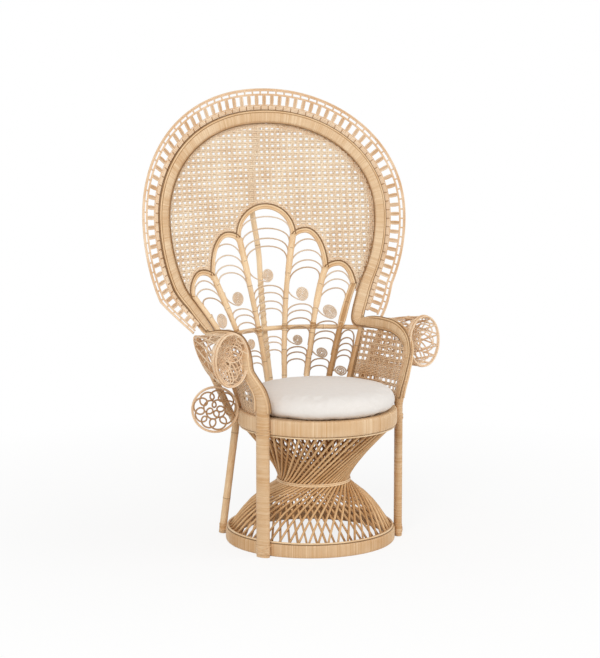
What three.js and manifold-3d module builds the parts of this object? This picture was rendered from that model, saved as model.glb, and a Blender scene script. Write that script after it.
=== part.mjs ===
// Rattan peacock armchair: twisted-cane pedestal, round seat, fan back with a lace border,
// two arms with lattice horns and a loose round cushion. Millimetres, +Z up, front towards -Y.
import * as THREE from 'three';
import { mergeVertices } from 'three/addons/utils/BufferGeometryUtils.js';
import Module from 'manifold-3d';

const wasm = await Module();
wasm.setup();

// Clearance between neighbouring pieces
const gap = 0.3;

// Slivers thinner than this are merged away
const meshGrain = 0.06;

// Round hoops of the pedestal and the seat
const seatRadius = 265;
const baseFlare = 20;
const baseRadius = seatRadius + baseFlare;
const baseHeight = 44;
const baseThickness = 32;
const seatThickness = 30;
const seatBottom = 401;
const seatTop = 453;
const seatCentreY = -44;
const hoopFacets = 32;
const bandEdge = 4;
const beadRadius = 4;
const beadFlat = beadRadius * Math.SQRT1_2;

// Twisted canes between the two hoops
const skirtCanes = 18;
const skirtCaneRadius = 3.8;
const outerInset = [14, 11];
const innerInset = [28, 25];
const outerFootRadius = baseRadius - outerInset[0];
const outerTopRadius = seatRadius - outerInset[1];
const outerWaistRadius = 115;
const innerFootRadius = baseRadius - innerInset[0];
const innerTopRadius = seatRadius - innerInset[1];
const innerWaistRadius = 103;
const skirtTwist = 46;
const waistZ = 208;
const waistTieRadius = 3;

// Woven seat disc and loose cushion
const seatDiscZ = seatTop;
const seatDiscThickness = 8;
const seatDiscPlay = 1;
const cushionRadius = 244;
const cushionHeight = 70;
const cushionSide = 32;
const cushionSideSteps = 8;
const cushionCrown = 18;
const cushionCrownSteps = 3;
const cushionCentreY = -58;
const cushionFacets = 30;

// Legs and their bindings: each leg stands just outside the hoops that it is bound to
const radians = (degrees) => (degrees * Math.PI) / 180;
const legStand = 17.08;
const legAngle = radians(-18.178);
const legX = (seatRadius + legStand) * Math.cos(legAngle);
const legY = seatCentreY + (seatRadius + legStand) * Math.sin(legAngle);
const legWidth = 42;
const legThickness = 25;
const backLegRadius = 12.5;
const backLegStand = [19.8, 12.78];
const backLegAngle = [radians(44.07), radians(50.26)];
const backLegFoot = [
  (baseRadius + backLegStand[0]) * Math.cos(backLegAngle[0]),
  (baseRadius + backLegStand[0]) * Math.sin(backLegAngle[0]),
];
const backLegFootZ = 3;
const backLegHead = [
  (seatRadius + backLegStand[1]) * Math.cos(backLegAngle[1]),
  seatCentreY + (seatRadius + backLegStand[1]) * Math.sin(backLegAngle[1]),
];
const strapWall = 5;
const baseStrapZ = [12, 36];
const seatStrapZ = [406, 448];

// Leaning, hollow surface that the back is built on
const backFootZ = 512;
const backFootY = 218.7;
const backLean = 0.17;
const backCurl = 0.0000764;
const topSag = 0.000375;
const seatSag = 0.00206;
const sagTopZ = 854;

// Wrapped arch of the back and the arm rails that carry it on
const archCentreZ = 1067;
const archHalfWidth = 431;
const archRise = 335;
const archRoundness = 2.1;
const archDrop = 465;
const archEndAngle = 133.6;
const archSteps = 36;
const bandWidth = 44;
const bandThickness = 24;
const railSteps = 24;
const railWidth = 38;
const railThickness = 22;
const railSpine = [
  [274, -140, 505], [286, -142, 546], [304, -132, 583], [315, -121, 612], [316, -114, 650],
  [313, -97, 678], [308, -60, 698], [305, -8, 704], [305, 55, 702], [304, 110, 695],
  [304, 140, 697], [306, 158, 715],
];

// Lace border outside the arch
const laceWidth = 76;
const laceThickness = 8;
const laceRim = 12;
const laceRung = 12;

// Palmette: lobe tops, valleys and the ribs that run down to the seat
const lobeTopZ = 1106;
const innerValley = [109, 1000];
const innerLobeTop = [156, 1017];
const outerValley = [226, 880];
const outerLobeTop = [274, 897];
const outerLobeEnd = [322, 818];
const lobeTuck = 16;
const lobeRadius = 7;
const ribRadius = 7.5;
const ribFootZ = seatTop + gap;
const ribSteps = 8;
const lobeSteps = 5;
const ribShapes = {
  inner: { footX: 31, slope: 0.0544, curve: 0.0001616, topZ: 998 },
  middle: { footX: 100, slope: 0.152, curve: 0.000336, topZ: 878 },
  outer: { footX: 168, slope: 0.1287, curve: 0.000806, topZ: 816 },
};

// Bars behind the palmette
const crossbarZ = 683;
const crossbarRadius = 8;
const crossbarHalfLength = 268;
const crossbarSteps = 12;
const backPoleRadius = 9.5;
const backPoleBow = 44;
const backPoleSway = 28;
const backPoleSwayZ = 900;
const backPoleFootZ = 405;
const backPoleTop = [324, 1400];
const backPoleSteps = 12;

// Fine scrollwork in the petals
const wireRadius = 3;
const scrollRadius = 20;
const lowScrollRadius = 15;
const scrollThickness = 6;
const coilFacets = 10;
const arcSteps = 6;
const runnerSteps = 5;

// Open cane panel of the back
const caneThickness = 5;
const canePitch = 68;
const caneHole = 44;
const caneMargin = 34;

// Arm parts outside and inside the rails
const stileRadius = 9;
const stileFoot = [208, 98];
const stileHead = [290, 118, 689];
const strutRadius = 11;
const strutFoot = [231, 106, 404];
const strutHead = [374, 108, 690];
const hornMouth = { x: 384, y: -128, z: 652, halfX: 54, halfZ: 88 };
const hornTail = { x: 352, y: 92, z: 634, half: 80, squash: 18 };
const hornCanes = 5;
const hornMouthFacets = 18;
const hornTailFacets = 12;
const hornTwist = 0.85;
const hornCaneRadius = 3.5;
const hornRimRadius = 5;
const sidePanelThickness = 5;
const sidePanelHoles = 3;
const sidePanelHole = 0.55;
const sidePanelFlare = 14;
const rosette = {
  x: 312, y: 96, z: 455, radius: 76, turn: 30, cane: 4.5, petals: 5, heart: 20, facets: 18, heartFacets: 8,
};

const matter = (name, color, roughness) => (
  new THREE.MeshStandardMaterial({ name, color, roughness, metalness: 0 })
);
const wrap = matter('rattan_wrap', 0xd2a86e, 0.6);
const pole = matter('rattan_pole', 0xc89858, 0.55);
const cane = matter('cane_weave', 0xdcb988, 0.65);
const cloth = matter('cushion_cloth', 0xe8e2da, 0.9);

const chair = new THREE.Group();
chair.name = 'peacock_armchair';
const placed = [];
const upward = new THREE.Vector3(0, 0, 1);
const vec = (x, y, z) => new THREE.Vector3(x, y, z);

function smooth(low, high, value) {
  const t = Math.min(1, Math.max(0, (value - low) / (high - low)));
  return t * t * (3 - 2 * t);
}

function solid(geometry) {
  geometry.deleteAttribute('normal');
  geometry.deleteAttribute('uv');
  const welded = mergeVertices(geometry, 1e-4);
  const body = new wasm.Manifold(new wasm.Mesh({
    numProp: 3,
    vertProperties: new Float32Array(welded.attributes.position.array),
    triVerts: new Uint32Array(welded.index.array),
  }));
  return body;
}

// Closed body from corners and triangles, turned inside out if they were wound inwards
function closedSolid(positions, index) {
  const build = () => {
    const geometry = new THREE.BufferGeometry();
    geometry.setAttribute('position', new THREE.Float32BufferAttribute(positions, 3));
    geometry.setIndex(index);
    return solid(geometry);
  };
  const body = build();
  if (body.volume() > 0) {
    return body;
  }
  for (let i = 0; i < index.length; i += 3) {
    [index[i], index[i + 1]] = [index[i + 1], index[i]];
  }
  return build();
}

function largest(body) {
  const bodies = body.decompose();
  bodies.sort((a, b) => b.volume() - a.volume());
  return bodies[0];
}

function boxesMeet(a, b) {
  return [0, 1, 2].every((i) => a.min[i] < b.max[i] && b.min[i] < a.max[i]);
}

function cleared(whole) {
  let body = whole;
  const box = body.boundingBox();
  for (const other of placed) {
    if (boxesMeet(box, other.box)) {
      body = body.subtract(other.grown);
    }
  }
  return body;
}

// Adds one piece, trimmed to keep its clearance from every piece already in place
function place(name, material, build) {
  const body = largest(cleared(build(0))).setTolerance(meshGrain);
  const grown = largest(cleared(build(gap)));
  placed.push({ grown, box: grown.boundingBox() });
  const mesh = body.getMesh();
  const geometry = new THREE.BufferGeometry();
  geometry.setAttribute('position', new THREE.Float32BufferAttribute(mesh.vertProperties, 3));
  geometry.setIndex(new THREE.Uint32BufferAttribute(mesh.triVerts, 1));
  geometry.computeVertexNormals();
  const piece = new THREE.Mesh(geometry, material);
  piece.name = name;
  chair.add(piece);
}

function roundProfile(radius, sides) {
  return Array.from({ length: sides }, (_, i) => {
    const angle = (2 * Math.PI * (i + 0.5)) / sides;
    return [radius * Math.cos(angle), radius * Math.sin(angle)];
  });
}

function bandProfile(width, thickness, edge) {
  const w = width / 2;
  const t = thickness / 2;
  return [
    [w, -t + edge], [w, t - edge], [w - edge, t], [-w + edge, t],
    [-w, t - edge], [-w, -t + edge], [-w + edge, -t], [w - edge, -t],
  ];
}

// Carries a convex profile through frames that hold a point and two cross directions
function sweep(frames, profile, closed = false) {
  const sides = profile.length;
  const positions = [];
  const index = [];
  for (const { point, across, through } of frames) {
    for (const [a, b] of profile) {
      const corner = point.clone().addScaledVector(across, a).addScaledVector(through, b);
      positions.push(corner.x, corner.y, corner.z);
    }
  }
  const spans = closed ? frames.length : frames.length - 1;
  for (let i = 0; i < spans; i += 1) {
    const here = i * sides;
    const next = ((i + 1) % frames.length) * sides;
    for (let j = 0; j < sides; j += 1) {
      const k = (j + 1) % sides;
      index.push(here + j, here + k, next + k, here + j, next + k, next + j);
    }
  }
  if (!closed) {
    const last = (frames.length - 1) * sides;
    for (let j = 1; j < sides - 1; j += 1) {
      index.push(0, j + 1, j, last, last + j, last + j + 1);
    }
  }
  return closedSolid(positions, index);
}

function tangentAt(points, i, closed) {
  const n = points.length;
  const before = closed ? points[(i + n - 1) % n] : points[Math.max(0, i - 1)];
  const after = closed ? points[(i + 1) % n] : points[Math.min(n - 1, i + 1)];
  return after.clone().sub(before).normalize();
}

// Frames along points: across stays as near as it can to the guide direction of each point
function framesAlong(points, guides, grow = 0, closed = false) {
  return points.map((point, i) => {
    const tangent = tangentAt(points, i, closed);
    const guide = Array.isArray(guides) ? guides[i] : guides;
    const across = guide.clone().addScaledVector(tangent, -guide.dot(tangent)).normalize();
    const through = tangent.clone().cross(across);
    const end = i === 0 ? -grow : i === points.length - 1 ? grow : 0;
    const shifted = closed ? point : point.clone().addScaledVector(tangent, end);
    return { point: shifted, across, through };
  });
}

function tube(points, radius, sides, grow, guide = vec(0, 1, 0), closed = false) {
  return sweep(framesAlong(points, guide, grow, closed), roundProfile(radius + grow, sides), closed);
}

function circlePoints(radius, centreY, z, count) {
  return Array.from({ length: count }, (_, i) => {
    const angle = (2 * Math.PI * i) / count;
    return vec(radius * Math.cos(angle), centreY + radius * Math.sin(angle), z);
  });
}

function ring(radius, centreY, z, profile, facets = hoopFacets) {
  const points = circlePoints(radius, centreY, z, facets);
  return sweep(framesAlong(points, upward, 0, true), profile, true);
}

function fuse(bodies) {
  return bodies.reduce((sum, body) => sum.add(body));
}

function linePoints(from, to, steps) {
  return Array.from({ length: steps + 1 }, (_, i) => from.clone().lerp(to, i / steps));
}

// Height-by-height depth of the back
function backY(x, z) {
  const rise = z - backFootZ;
  const sag = seatSag + (topSag - seatSag) * smooth(backFootZ, sagTopZ, z);
  return backFootY + backLean * rise - backCurl * rise * rise - sag * x * x;
}

const onBack = (x, z, behind = 0) => vec(x, backY(x, z) + behind, z);

// Direction square to the back, pointing behind it
function behindBack(x, z) {
  const slopeX = (backY(x + 1, z) - backY(x - 1, z)) / 2;
  const slopeZ = (backY(x, z + 1) - backY(x, z - 1)) / 2;
  return vec(-slopeX, 1, -slopeZ).normalize();
}

// Hoops, beads, legs
const hoop = (radius, thickness, centreY, low, high) => (grow) => ring(
  radius - thickness / 2,
  centreY,
  (low + high) / 2,
  bandProfile(high - low + 2 * grow, thickness + 2 * grow, bandEdge),
);
const bead = (radius, centreY, z) => (grow) => ring(radius, centreY, z, roundProfile(beadRadius + grow, 4));

place('base_hoop', wrap, hoop(baseRadius, baseThickness, 0, 0, baseHeight));
place('seat_hoop', wrap, hoop(seatRadius, seatThickness, seatCentreY, seatBottom, seatTop));
place('base_bead', pole, bead(baseRadius - bandEdge - beadFlat, 0, baseHeight + gap + beadFlat));
place('seat_bead', pole, bead(seatRadius - bandEdge - beadFlat, seatCentreY, seatBottom - gap - beadFlat));

const legOut = vec(legX, legY, 0).normalize();
const legSection = (grow) => bandProfile(legThickness + 2 * grow, legWidth + 2 * grow, bandEdge);

function frontLeg(side) {
  const outward = vec(side * legOut.x, legOut.y, 0);
  return (grow) => sweep(
    framesAlong([vec(side * legX, legY, 0), vec(side * legX, legY, seatTop)], outward, grow),
    legSection(grow),
  );
}

function backLeg(side) {
  const foot = vec(side * backLegFoot[0], backLegFoot[1], backLegFootZ);
  const head = vec(side * backLegHead[0], backLegHead[1], seatTop);
  return (grow) => tube([foot, head], backLegRadius, 10, grow);
}

for (const [word, side] of [['left', -1], ['right', 1]]) {
  place(`front_leg_${word}`, wrap, frontLeg(side));
  place(`back_leg_${word}`, pole, backLeg(side));
}

// Twisted canes: each runs from the base hoop, round the waist, to the seat hoop
function skirt(turn, footRadius, waistRadius, topRadius) {
  const half = turn * radians(skirtTwist);
  const footZ = baseHeight + gap;
  const topZ = seatBottom - gap;
  const waistY = seatCentreY * ((waistZ - footZ) / (topZ - footZ));
  const spot = (radius, angle, centreY, z) => (
    vec(radius * Math.cos(angle), centreY + radius * Math.sin(angle), z)
  );
  return (grow) => {
    const canes = [];
    for (let i = 0; i < skirtCanes; i += 1) {
      const angle = (2 * Math.PI * i) / skirtCanes;
      const foot = spot(footRadius, angle, 0, footZ - grow);
      const waist = spot(waistRadius, angle + half, waistY, waistZ);
      const top = spot(topRadius, angle + 2 * half, seatCentreY, topZ + grow);
      const travel = top.clone().sub(foot);
      const stretch = travel.length() / travel.z;
      const flat = vec(travel.x, travel.y, 0).normalize();
      const frames = [foot, waist, top].map((point) => ({
        point,
        across: flat.clone().multiplyScalar(stretch),
        through: upward.clone().cross(flat),
      }));
      canes.push(sweep(frames, roundProfile(skirtCaneRadius + grow, 4)));
    }
    canes.push(ring(waistRadius, waistY, waistZ, roundProfile(waistTieRadius + grow, 4), skirtCanes));
    return fuse(canes);
  };
}

place('skirt_outer', pole, skirt(1, outerFootRadius, outerWaistRadius, outerTopRadius));
place('skirt_inner', pole, skirt(-1, innerFootRadius, innerWaistRadius, innerTopRadius));
const waistShare = (waistZ - baseHeight - gap) / (seatBottom - baseHeight - 2 * gap);
const waistHoopRadius = outerWaistRadius + skirtCaneRadius + gap + beadFlat;
place('waist_hoop', pole, bead(waistHoopRadius, seatCentreY * waistShare, waistZ));

// Seat disc and cushion, both turned about the seat's centre
function turned(profile, facets, centreY) {
  const geometry = new THREE.LatheGeometry(profile.map(([r, z]) => new THREE.Vector2(r, z)), facets);
  geometry.rotateX(Math.PI / 2);
  geometry.translate(0, centreY, 0);
  return solid(geometry);
}

place('seat_disc', cane, (grow) => {
  const radius = seatRadius - seatThickness - seatDiscPlay + grow;
  const low = seatDiscZ - seatDiscThickness - grow;
  const high = seatDiscZ + grow;
  return turned([[0, low], [radius, low], [radius, high], [0, high]], hoopFacets, seatCentreY);
});

// Cushion: flat below, rounded at the side and crowned on top
place('cushion', cloth, (grow) => {
  const low = seatDiscZ + gap;
  const half = cushionHeight / 2;
  const flat = cushionRadius - cushionSide;
  const rings = [[0, low - grow]];
  for (let i = 0; i <= cushionSideSteps; i += 1) {
    const angle = Math.PI * (i / cushionSideSteps - 0.5);
    const radius = flat + (cushionSide + grow) * Math.cos(angle);
    rings.push([radius, low + half + (half + grow) * Math.sin(angle)]);
  }
  for (let i = cushionCrownSteps - 1; i >= 0; i -= 1) {
    const share = i / cushionCrownSteps;
    const crown = cushionCrown * (1 - share * share);
    rings.push([flat * share, low + cushionHeight + crown + grow]);
  }
  return turned(rings, cushionFacets, cushionCentreY);
});

// Arch of the back: a rounded top half on a longer lower half, laid on the back surface
function archPoint(degrees) {
  const angle = radians(degrees);
  const power = 2 / archRoundness;
  const upper = Math.abs(degrees) <= 90;
  const spread = upper ? Math.abs(Math.sin(angle)) ** power : Math.abs(Math.sin(angle));
  const lift = upper ? archRise * Math.abs(Math.cos(angle)) ** power : archDrop * Math.cos(angle);
  return onBack(Math.sign(degrees) * archHalfWidth * spread, archCentreZ + lift);
}

function archFrame(degrees) {
  const point = archPoint(degrees);
  const tangent = archPoint(degrees + 0.5).sub(archPoint(degrees - 0.5)).normalize();
  const behind = behindBack(point.x, point.z);
  const outward = tangent.clone().cross(behind).normalize();
  return { point, across: outward, through: outward.clone().cross(tangent), behind };
}

const archAngles = (steps) => Array.from(
  { length: steps + 1 },
  (_, i) => archEndAngle * ((2 * i) / steps - 1),
);

place('back_arch', wrap, (grow) => sweep(
  archAngles(archSteps).map(archFrame),
  bandProfile(bandWidth + 2 * grow, bandThickness + 2 * grow, bandEdge),
));

function armRail(side) {
  const archEnd = archFrame(side * archEndAngle);
  const start = vec(side * legX, legY, seatTop + gap);
  const middle = railSpine.map(([x, y, z]) => vec(side * x, y, z));
  const finish = archEnd.point.clone();
  const curve = new THREE.CatmullRomCurve3([start, ...middle, finish]);
  const points = curve.getSpacedPoints(railSteps);
  const legGuide = vec(side * legOut.x, legOut.y, 0);
  const sideGuide = vec(side, 0, 0);
  const guides = points.map((point, i) => {
    const share = i / railSteps;
    const low = legGuide.clone().lerp(sideGuide, smooth(0, 0.4, share));
    return low.lerp(archEnd.behind, smooth(0.55, 1, share)).normalize();
  });
  return (grow) => sweep(
    framesAlong(points, guides, grow),
    bandProfile(railThickness + 2 * grow, railWidth + 2 * grow, bandEdge),
  );
}

place('arm_rail_left', wrap, armRail(-1));
place('arm_rail_right', wrap, armRail(1));

// Ribs, lobes and bars of the palmette
function ribX(shape, z) {
  const rise = Math.min(z, shape.topZ) - ribFootZ;
  return shape.footX + shape.slope * rise + shape.curve * rise * rise;
}

function rib(shape, side) {
  const points = Array.from({ length: ribSteps + 1 }, (_, i) => {
    const z = ribFootZ + ((shape.topZ - ribFootZ) * i) / ribSteps;
    return onBack(side * ribX(shape, z), z);
  });
  return (grow) => tube(points, ribRadius, 6, grow);
}

// A lobe is two quarter ellipses that share their top
function lobePoints(inner, top, outer, side) {
  const points = [];
  for (let i = 0; i <= lobeSteps; i += 1) {
    const angle = (Math.PI / 2) * (i / lobeSteps);
    const x = top[0] - (top[0] - inner[0]) * Math.cos(angle);
    const z = inner[1] + (top[1] - inner[1]) * Math.sin(angle);
    points.push(onBack(side * x, z));
  }
  for (let i = 1; i <= lobeSteps; i += 1) {
    const angle = (Math.PI / 2) * (i / lobeSteps);
    const x = top[0] + (outer[0] - top[0]) * Math.sin(angle);
    const z = outer[1] + (top[1] - outer[1]) * Math.cos(angle);
    points.push(onBack(side * x, z));
  }
  return points;
}

// Scalloped rim of the palmette: a centre lobe and two lobes on each side, bound at the valleys
place('palmette_rim', pole, (grow) => {
  const innerStart = [innerValley[0], innerValley[1] - lobeTuck];
  const outerStart = [outerValley[0], outerValley[1] - lobeTuck];
  const paths = [lobePoints([-innerValley[0], innerValley[1]], [0, lobeTopZ], innerValley, 1)];
  for (const side of [-1, 1]) {
    paths.push(lobePoints(innerStart, innerLobeTop, outerValley, side));
    paths.push(lobePoints(outerStart, outerLobeTop, outerLobeEnd, side));
  }
  return fuse(paths.map((points) => tube(points, lobeRadius, 6, grow)));
});

for (const [word, side] of [['left', -1], ['right', 1]]) {
  for (const [rank, shape] of Object.entries(ribShapes)) {
    place(`rib_${rank}_${word}`, pole, rib(shape, side));
  }
}

for (const [word, side] of [['left', -1], ['right', 1]]) {
  const foot = vec(side * stileFoot[0], stileFoot[1], ribFootZ);
  const head = vec(side * stileHead[0], stileHead[1], stileHead[2]);
  place(`arm_stile_${word}`, pole, (grow) => tube([foot, head], stileRadius, 8, grow));
}

place('crossbar', pole, (grow) => {
  const points = Array.from({ length: crossbarSteps + 1 }, (_, i) => {
    const x = crossbarHalfLength * ((2 * i) / crossbarSteps - 1);
    return onBack(x, crossbarZ, ribRadius + gap + crossbarRadius);
  });
  return tube(points, crossbarRadius, 6, grow, upward);
});

place('back_pole', pole, (grow) => {
  const foot = vec(0, seatCentreY + seatRadius + gap + backPoleRadius, backPoleFootZ);
  const head = vec(0, backPoleTop[0], backPoleTop[1]);
  const points = linePoints(foot, head, backPoleSteps);
  points.forEach((point, i) => {
    const climb = Math.max(0, (point.z - backPoleSwayZ) / (backPoleTop[1] - backPoleSwayZ));
    point.x -= backPoleSway * Math.sin(Math.PI * climb) ** 2;
    point.y += backPoleBow * Math.sin((Math.PI * i) / backPoleSteps);
  });
  return tube(points, backPoleRadius, 8, grow, vec(1, 0, 0));
});

// Bindings that hold the legs to the hoops
function strap(x, y, [low, high], outward, across, deep) {
  const points = [vec(x, y, low), vec(x, y, high)];
  return (grow) => sweep(
    framesAlong(points, outward, grow),
    bandProfile(deep + 2 * grow, across + 2 * grow, bandEdge),
  );
}

for (const [word, side] of [['left', -1], ['right', 1]]) {
  const outward = vec(side * legOut.x, legOut.y, 0);
  const across = legWidth + 2 * strapWall;
  const deep = legThickness + 2 * strapWall;
  place(`base_strap_front_${word}`, wrap, strap(side * legX, legY, baseStrapZ, outward, across, deep));
  place(`seat_strap_${word}`, wrap, strap(side * legX, legY, seatStrapZ, outward, across, deep));
  const share = (baseStrapZ[0] + baseStrapZ[1]) / 2 / seatTop;
  const x = side * (backLegFoot[0] + (backLegHead[0] - backLegFoot[0]) * share);
  const y = backLegFoot[1] + (backLegHead[1] - backLegFoot[1]) * share;
  const round = 2 * (backLegRadius + strapWall);
  place(`base_strap_back_${word}`, wrap, strap(x, y, baseStrapZ, vec(x, y, 0).normalize(), round, round));
}

// A sheet of square cells, open or solid, bent into place by the spot function
function gridSheet(columns, rows, kindOf, holeU, holeV, thickness, spot, grow) {
  const positions = [];
  const index = [];
  const known = new Map();
  const depth = thickness / 2 + grow;
  const inside = (i, j) => i >= 0 && j >= 0 && i < columns && j < rows;
  const kind = (i, j) => (inside(i, j) ? kindOf(i, j) : 'none');
  const vertex = (u, v, face) => {
    const key = `${u.toFixed(4)} ${v.toFixed(4)} ${face}`;
    if (!known.has(key)) {
      const point = spot(u, v, face * depth);
      known.set(key, positions.length / 3);
      positions.push(point.x, point.y, point.z);
    }
    return known.get(key);
  };
  const quad = (a, b, c, d) => index.push(a, b, c, a, c, d);
  const both = (ring) => {
    quad(...ring.map(([u, v]) => vertex(u, v, -1)));
    quad(...[...ring].reverse().map(([u, v]) => vertex(u, v, 1)));
  };
  const wall = (from, to) => quad(
    vertex(...from, -1),
    vertex(...to, -1),
    vertex(...to, 1),
    vertex(...from, 1),
  );
  for (let i = 0; i < columns; i += 1) {
    for (let j = 0; j < rows; j += 1) {
      const here = kind(i, j);
      const corners = [[i, j], [i + 1, j], [i + 1, j + 1], [i, j + 1]];
      const beside = [[i, j - 1], [i + 1, j], [i, j + 1], [i - 1, j]];
      if (here === 'solid') {
        both(corners);
      }
      if (here === 'open') {
        const hole = corners.map(([u, v]) => [
          i + 0.5 + (u - i - 0.5) * holeU,
          j + 0.5 + (v - j - 0.5) * holeV,
        ]);
        for (let k = 0; k < 4; k += 1) {
          const next = (k + 1) % 4;
          both([corners[k], corners[next], hole[next], hole[k]]);
          wall(hole[k], hole[next]);
        }
      }
      if (here !== 'none') {
        for (let k = 0; k < 4; k += 1) {
          if (kind(...beside[k]) === 'none') {
            wall(corners[(k + 1) % 4], corners[k]);
          }
        }
      }
    }
  }
  return closedSolid(positions, index);
}

// Lace border: one open bay per gap, from the arch outwards
place('lace_border', cane, (grow) => {
  const inner = bandWidth / 2 + 1.5 * gap;
  const pitch = (2 * radians(archEndAngle) * archHalfWidth) / archSteps;
  const spot = (bay, row, lift) => {
    const frame = archFrame(archEndAngle * ((2 * bay) / archSteps - 1));
    return frame.point.clone()
      .addScaledVector(frame.across, inner + row * laceWidth)
      .addScaledVector(frame.through, lift);
  };
  const holeAlong = 1 - laceRung / pitch;
  const holeAcross = 1 - (2 * laceRim) / laceWidth;
  return gridSheet(archSteps, 1, () => 'open', holeAlong, holeAcross, laceThickness, spot, grow);
});

// Height of the scalloped top of the palmette at a distance from the middle
function lobeHeight(x) {
  const from = Math.abs(x);
  const quarter = (inside, base, top) => base + (top - base) * Math.sqrt(Math.max(0, 1 - inside * inside));
  if (from <= innerValley[0]) {
    return quarter(from / innerValley[0], innerValley[1], lobeTopZ);
  }
  const [inner, top, outer] = from <= outerValley[0]
    ? [innerValley, innerLobeTop, outerValley]
    : [outerValley, outerLobeTop, outerLobeEnd];
  return from < top[0]
    ? quarter((top[0] - from) / (top[0] - inner[0]), inner[1], top[1])
    : quarter((from - top[0]) / (outer[0] - top[0]), outer[1], top[1]);
}

function insideArch(x, z, margin) {
  const drop = z - archCentreZ;
  const width = Math.abs(x) / (archHalfWidth - margin);
  const lift = drop > 0 ? drop / (archRise - margin) : -drop / archDrop;
  const power = drop > 0 ? archRoundness : 2;
  return width ** power + lift ** power < 1;
}

place('cane_panel', cane, (grow) => {
  const columns = 2 * Math.ceil(archHalfWidth / canePitch);
  const lowZ = outerLobeEnd[1];
  const rows = Math.ceil((archCentreZ + archRise - lowZ) / canePitch);
  const across = (u) => (u - columns / 2) * canePitch;
  const up = (v) => lowZ + v * canePitch;
  const kindOf = (i, j) => {
    const corners = [[i, j], [i + 1, j], [i + 1, j + 1], [i, j + 1]];
    const spots = corners.map(([u, v]) => [across(u), up(v)]);
    if (spots.every(([x, z]) => insideArch(x, z, caneMargin) && z > lobeHeight(x) + 2 * lobeRadius)) {
      return 'open';
    }
    const touches = spots.some(([x, z]) => insideArch(x, z, 0) && z > lobeHeight(x));
    return touches ? 'solid' : 'none';
  };
  const holeShare = caneHole / canePitch;
  const spot = (u, v, lift) => onBack(across(u), up(v), lift);
  return gridSheet(columns, rows, kindOf, holeShare, holeShare, caneThickness, spot, grow);
});

// Scrollwork of one petal: a nailing cane on the inner rib, thin arcs and coiled scrolls
const petalReach = ribRadius + gap + wireRadius;

function arcPoints(left, right, z, rise) {
  return Array.from({ length: arcSteps + 1 }, (_, i) => {
    const angle = Math.PI * (1 - i / arcSteps);
    const share = (1 + Math.cos(angle)) / 2;
    const height = z + rise * Math.sin(angle);
    const start = left(height) + petalReach;
    return onBack(start + (right(height) - start) * share, height);
  });
}

function coil(centre, radius, grow) {
  const behind = behindBack(centre.x, centre.z);
  const front = centre.clone().addScaledVector(behind, -scrollThickness / 2);
  const back = centre.clone().addScaledVector(behind, scrollThickness / 2);
  return tube([front, back], radius, coilFacets, grow, upward);
}

function petal(left, right, arcs, scrolls) {
  return (grow) => {
    const bodies = [];
    const low = Math.min(...arcs.map(([z]) => z), ...scrolls.map(([z]) => z - scrollRadius)) - 4;
    const high = Math.max(...arcs.map(([z]) => z)) + 4;
    const runner = Array.from({ length: runnerSteps + 1 }, (_, i) => {
      const z = low + ((high - low) * i) / runnerSteps;
      return onBack(left(z) + petalReach, z);
    });
    bodies.push(tube(runner, wireRadius, 4, grow));
    for (const [z, rise] of arcs) {
      bodies.push(tube(arcPoints(left, right, z, rise), wireRadius, 3, grow));
    }
    for (const [z, radius, rise] of scrolls) {
      const centre = onBack((left(z) + right(z)) / 2, z);
      const hook = [0, 0.35, 0.7, 1].map((share) => {
        const angle = radians(200 + 90 * share);
        const width = centre.x - left(z) - petalReach;
        const wide = width + (wireRadius - width) * share;
        return onBack(centre.x + wide * Math.cos(angle), z + (radius + rise * (1 - share)) * Math.sin(angle));
      });
      hook.unshift(onBack(left(z) + petalReach, z));
      bodies.push(tube(hook, wireRadius, 3, grow));
      bodies.push(coil(centre, radius, grow));
    }
    return fuse(bodies);
  };
}

const ribAt = (rank, side) => (z) => side * ribX(ribShapes[rank], z);
const stileAt = (side) => (z) => {
  const share = (z - ribFootZ) / (stileHead[2] - ribFootZ);
  return side * (stileFoot[0] + (stileHead[0] - stileFoot[0]) * share);
};
const ordered = (side, a, b) => (side > 0 ? [a, b] : [b, a]);

place('petal_centre', cane, petal(
  ribAt('inner', -1),
  ribAt('inner', 1),
  [[990, 72], [925, 68], [765, 40], [610, 26]],
  [[864, scrollRadius, 8]],
));
for (const [word, side] of [['left', -1], ['right', 1]]) {
  place(`petal_inner_${word}`, cane, petal(
    ...ordered(side, ribAt('inner', side), ribAt('middle', side)),
    [[905, 56], [850, 56], [690, 36], [560, 28]],
    [[794, scrollRadius, 8], [636, lowScrollRadius, 4]],
  ));
  place(`petal_middle_${word}`, cane, petal(
    ...ordered(side, ribAt('middle', side), ribAt('outer', side)),
    [[812, 50], [767, 50], [521, 26]],
    [[730, scrollRadius, 8], [590, lowScrollRadius, 4]],
  ));
  place(`petal_outer_${word}`, cane, petal(
    ...ordered(side, ribAt('outer', side), stileAt(side)),
    [[630, 24], [585, 24]],
    [[530, lowScrollRadius, 2]],
  ));
}

// Arms: strut, woven side panel, lattice horn and rosette on each side
function sidePanel(side) {
  const count = sidePanelHoles;
  const footRadius = seatRadius - seatThickness / 2;
  const spot = (column, row, lift) => {
    const forward = column / count;
    const rise = row / count;
    const footY = stileFoot[1] + (legY - stileFoot[1]) * forward;
    const footX = Math.sqrt(footRadius ** 2 - (footY - seatCentreY) ** 2);
    const headY = stileHead[1] + (legY - stileHead[1]) * forward;
    const headX = stileHead[0] + sidePanelFlare * forward;
    const headZ = stileHead[2] + bandWidth / 2;
    const z = ribFootZ + (headZ - ribFootZ) * rise;
    return vec(side * (footX + (headX - footX) * rise + lift), footY + (headY - footY) * rise, z);
  };
  const share = sidePanelHole;
  return (grow) => gridSheet(count, count, () => 'open', share, share, sidePanelThickness, spot, grow);
}

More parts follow.
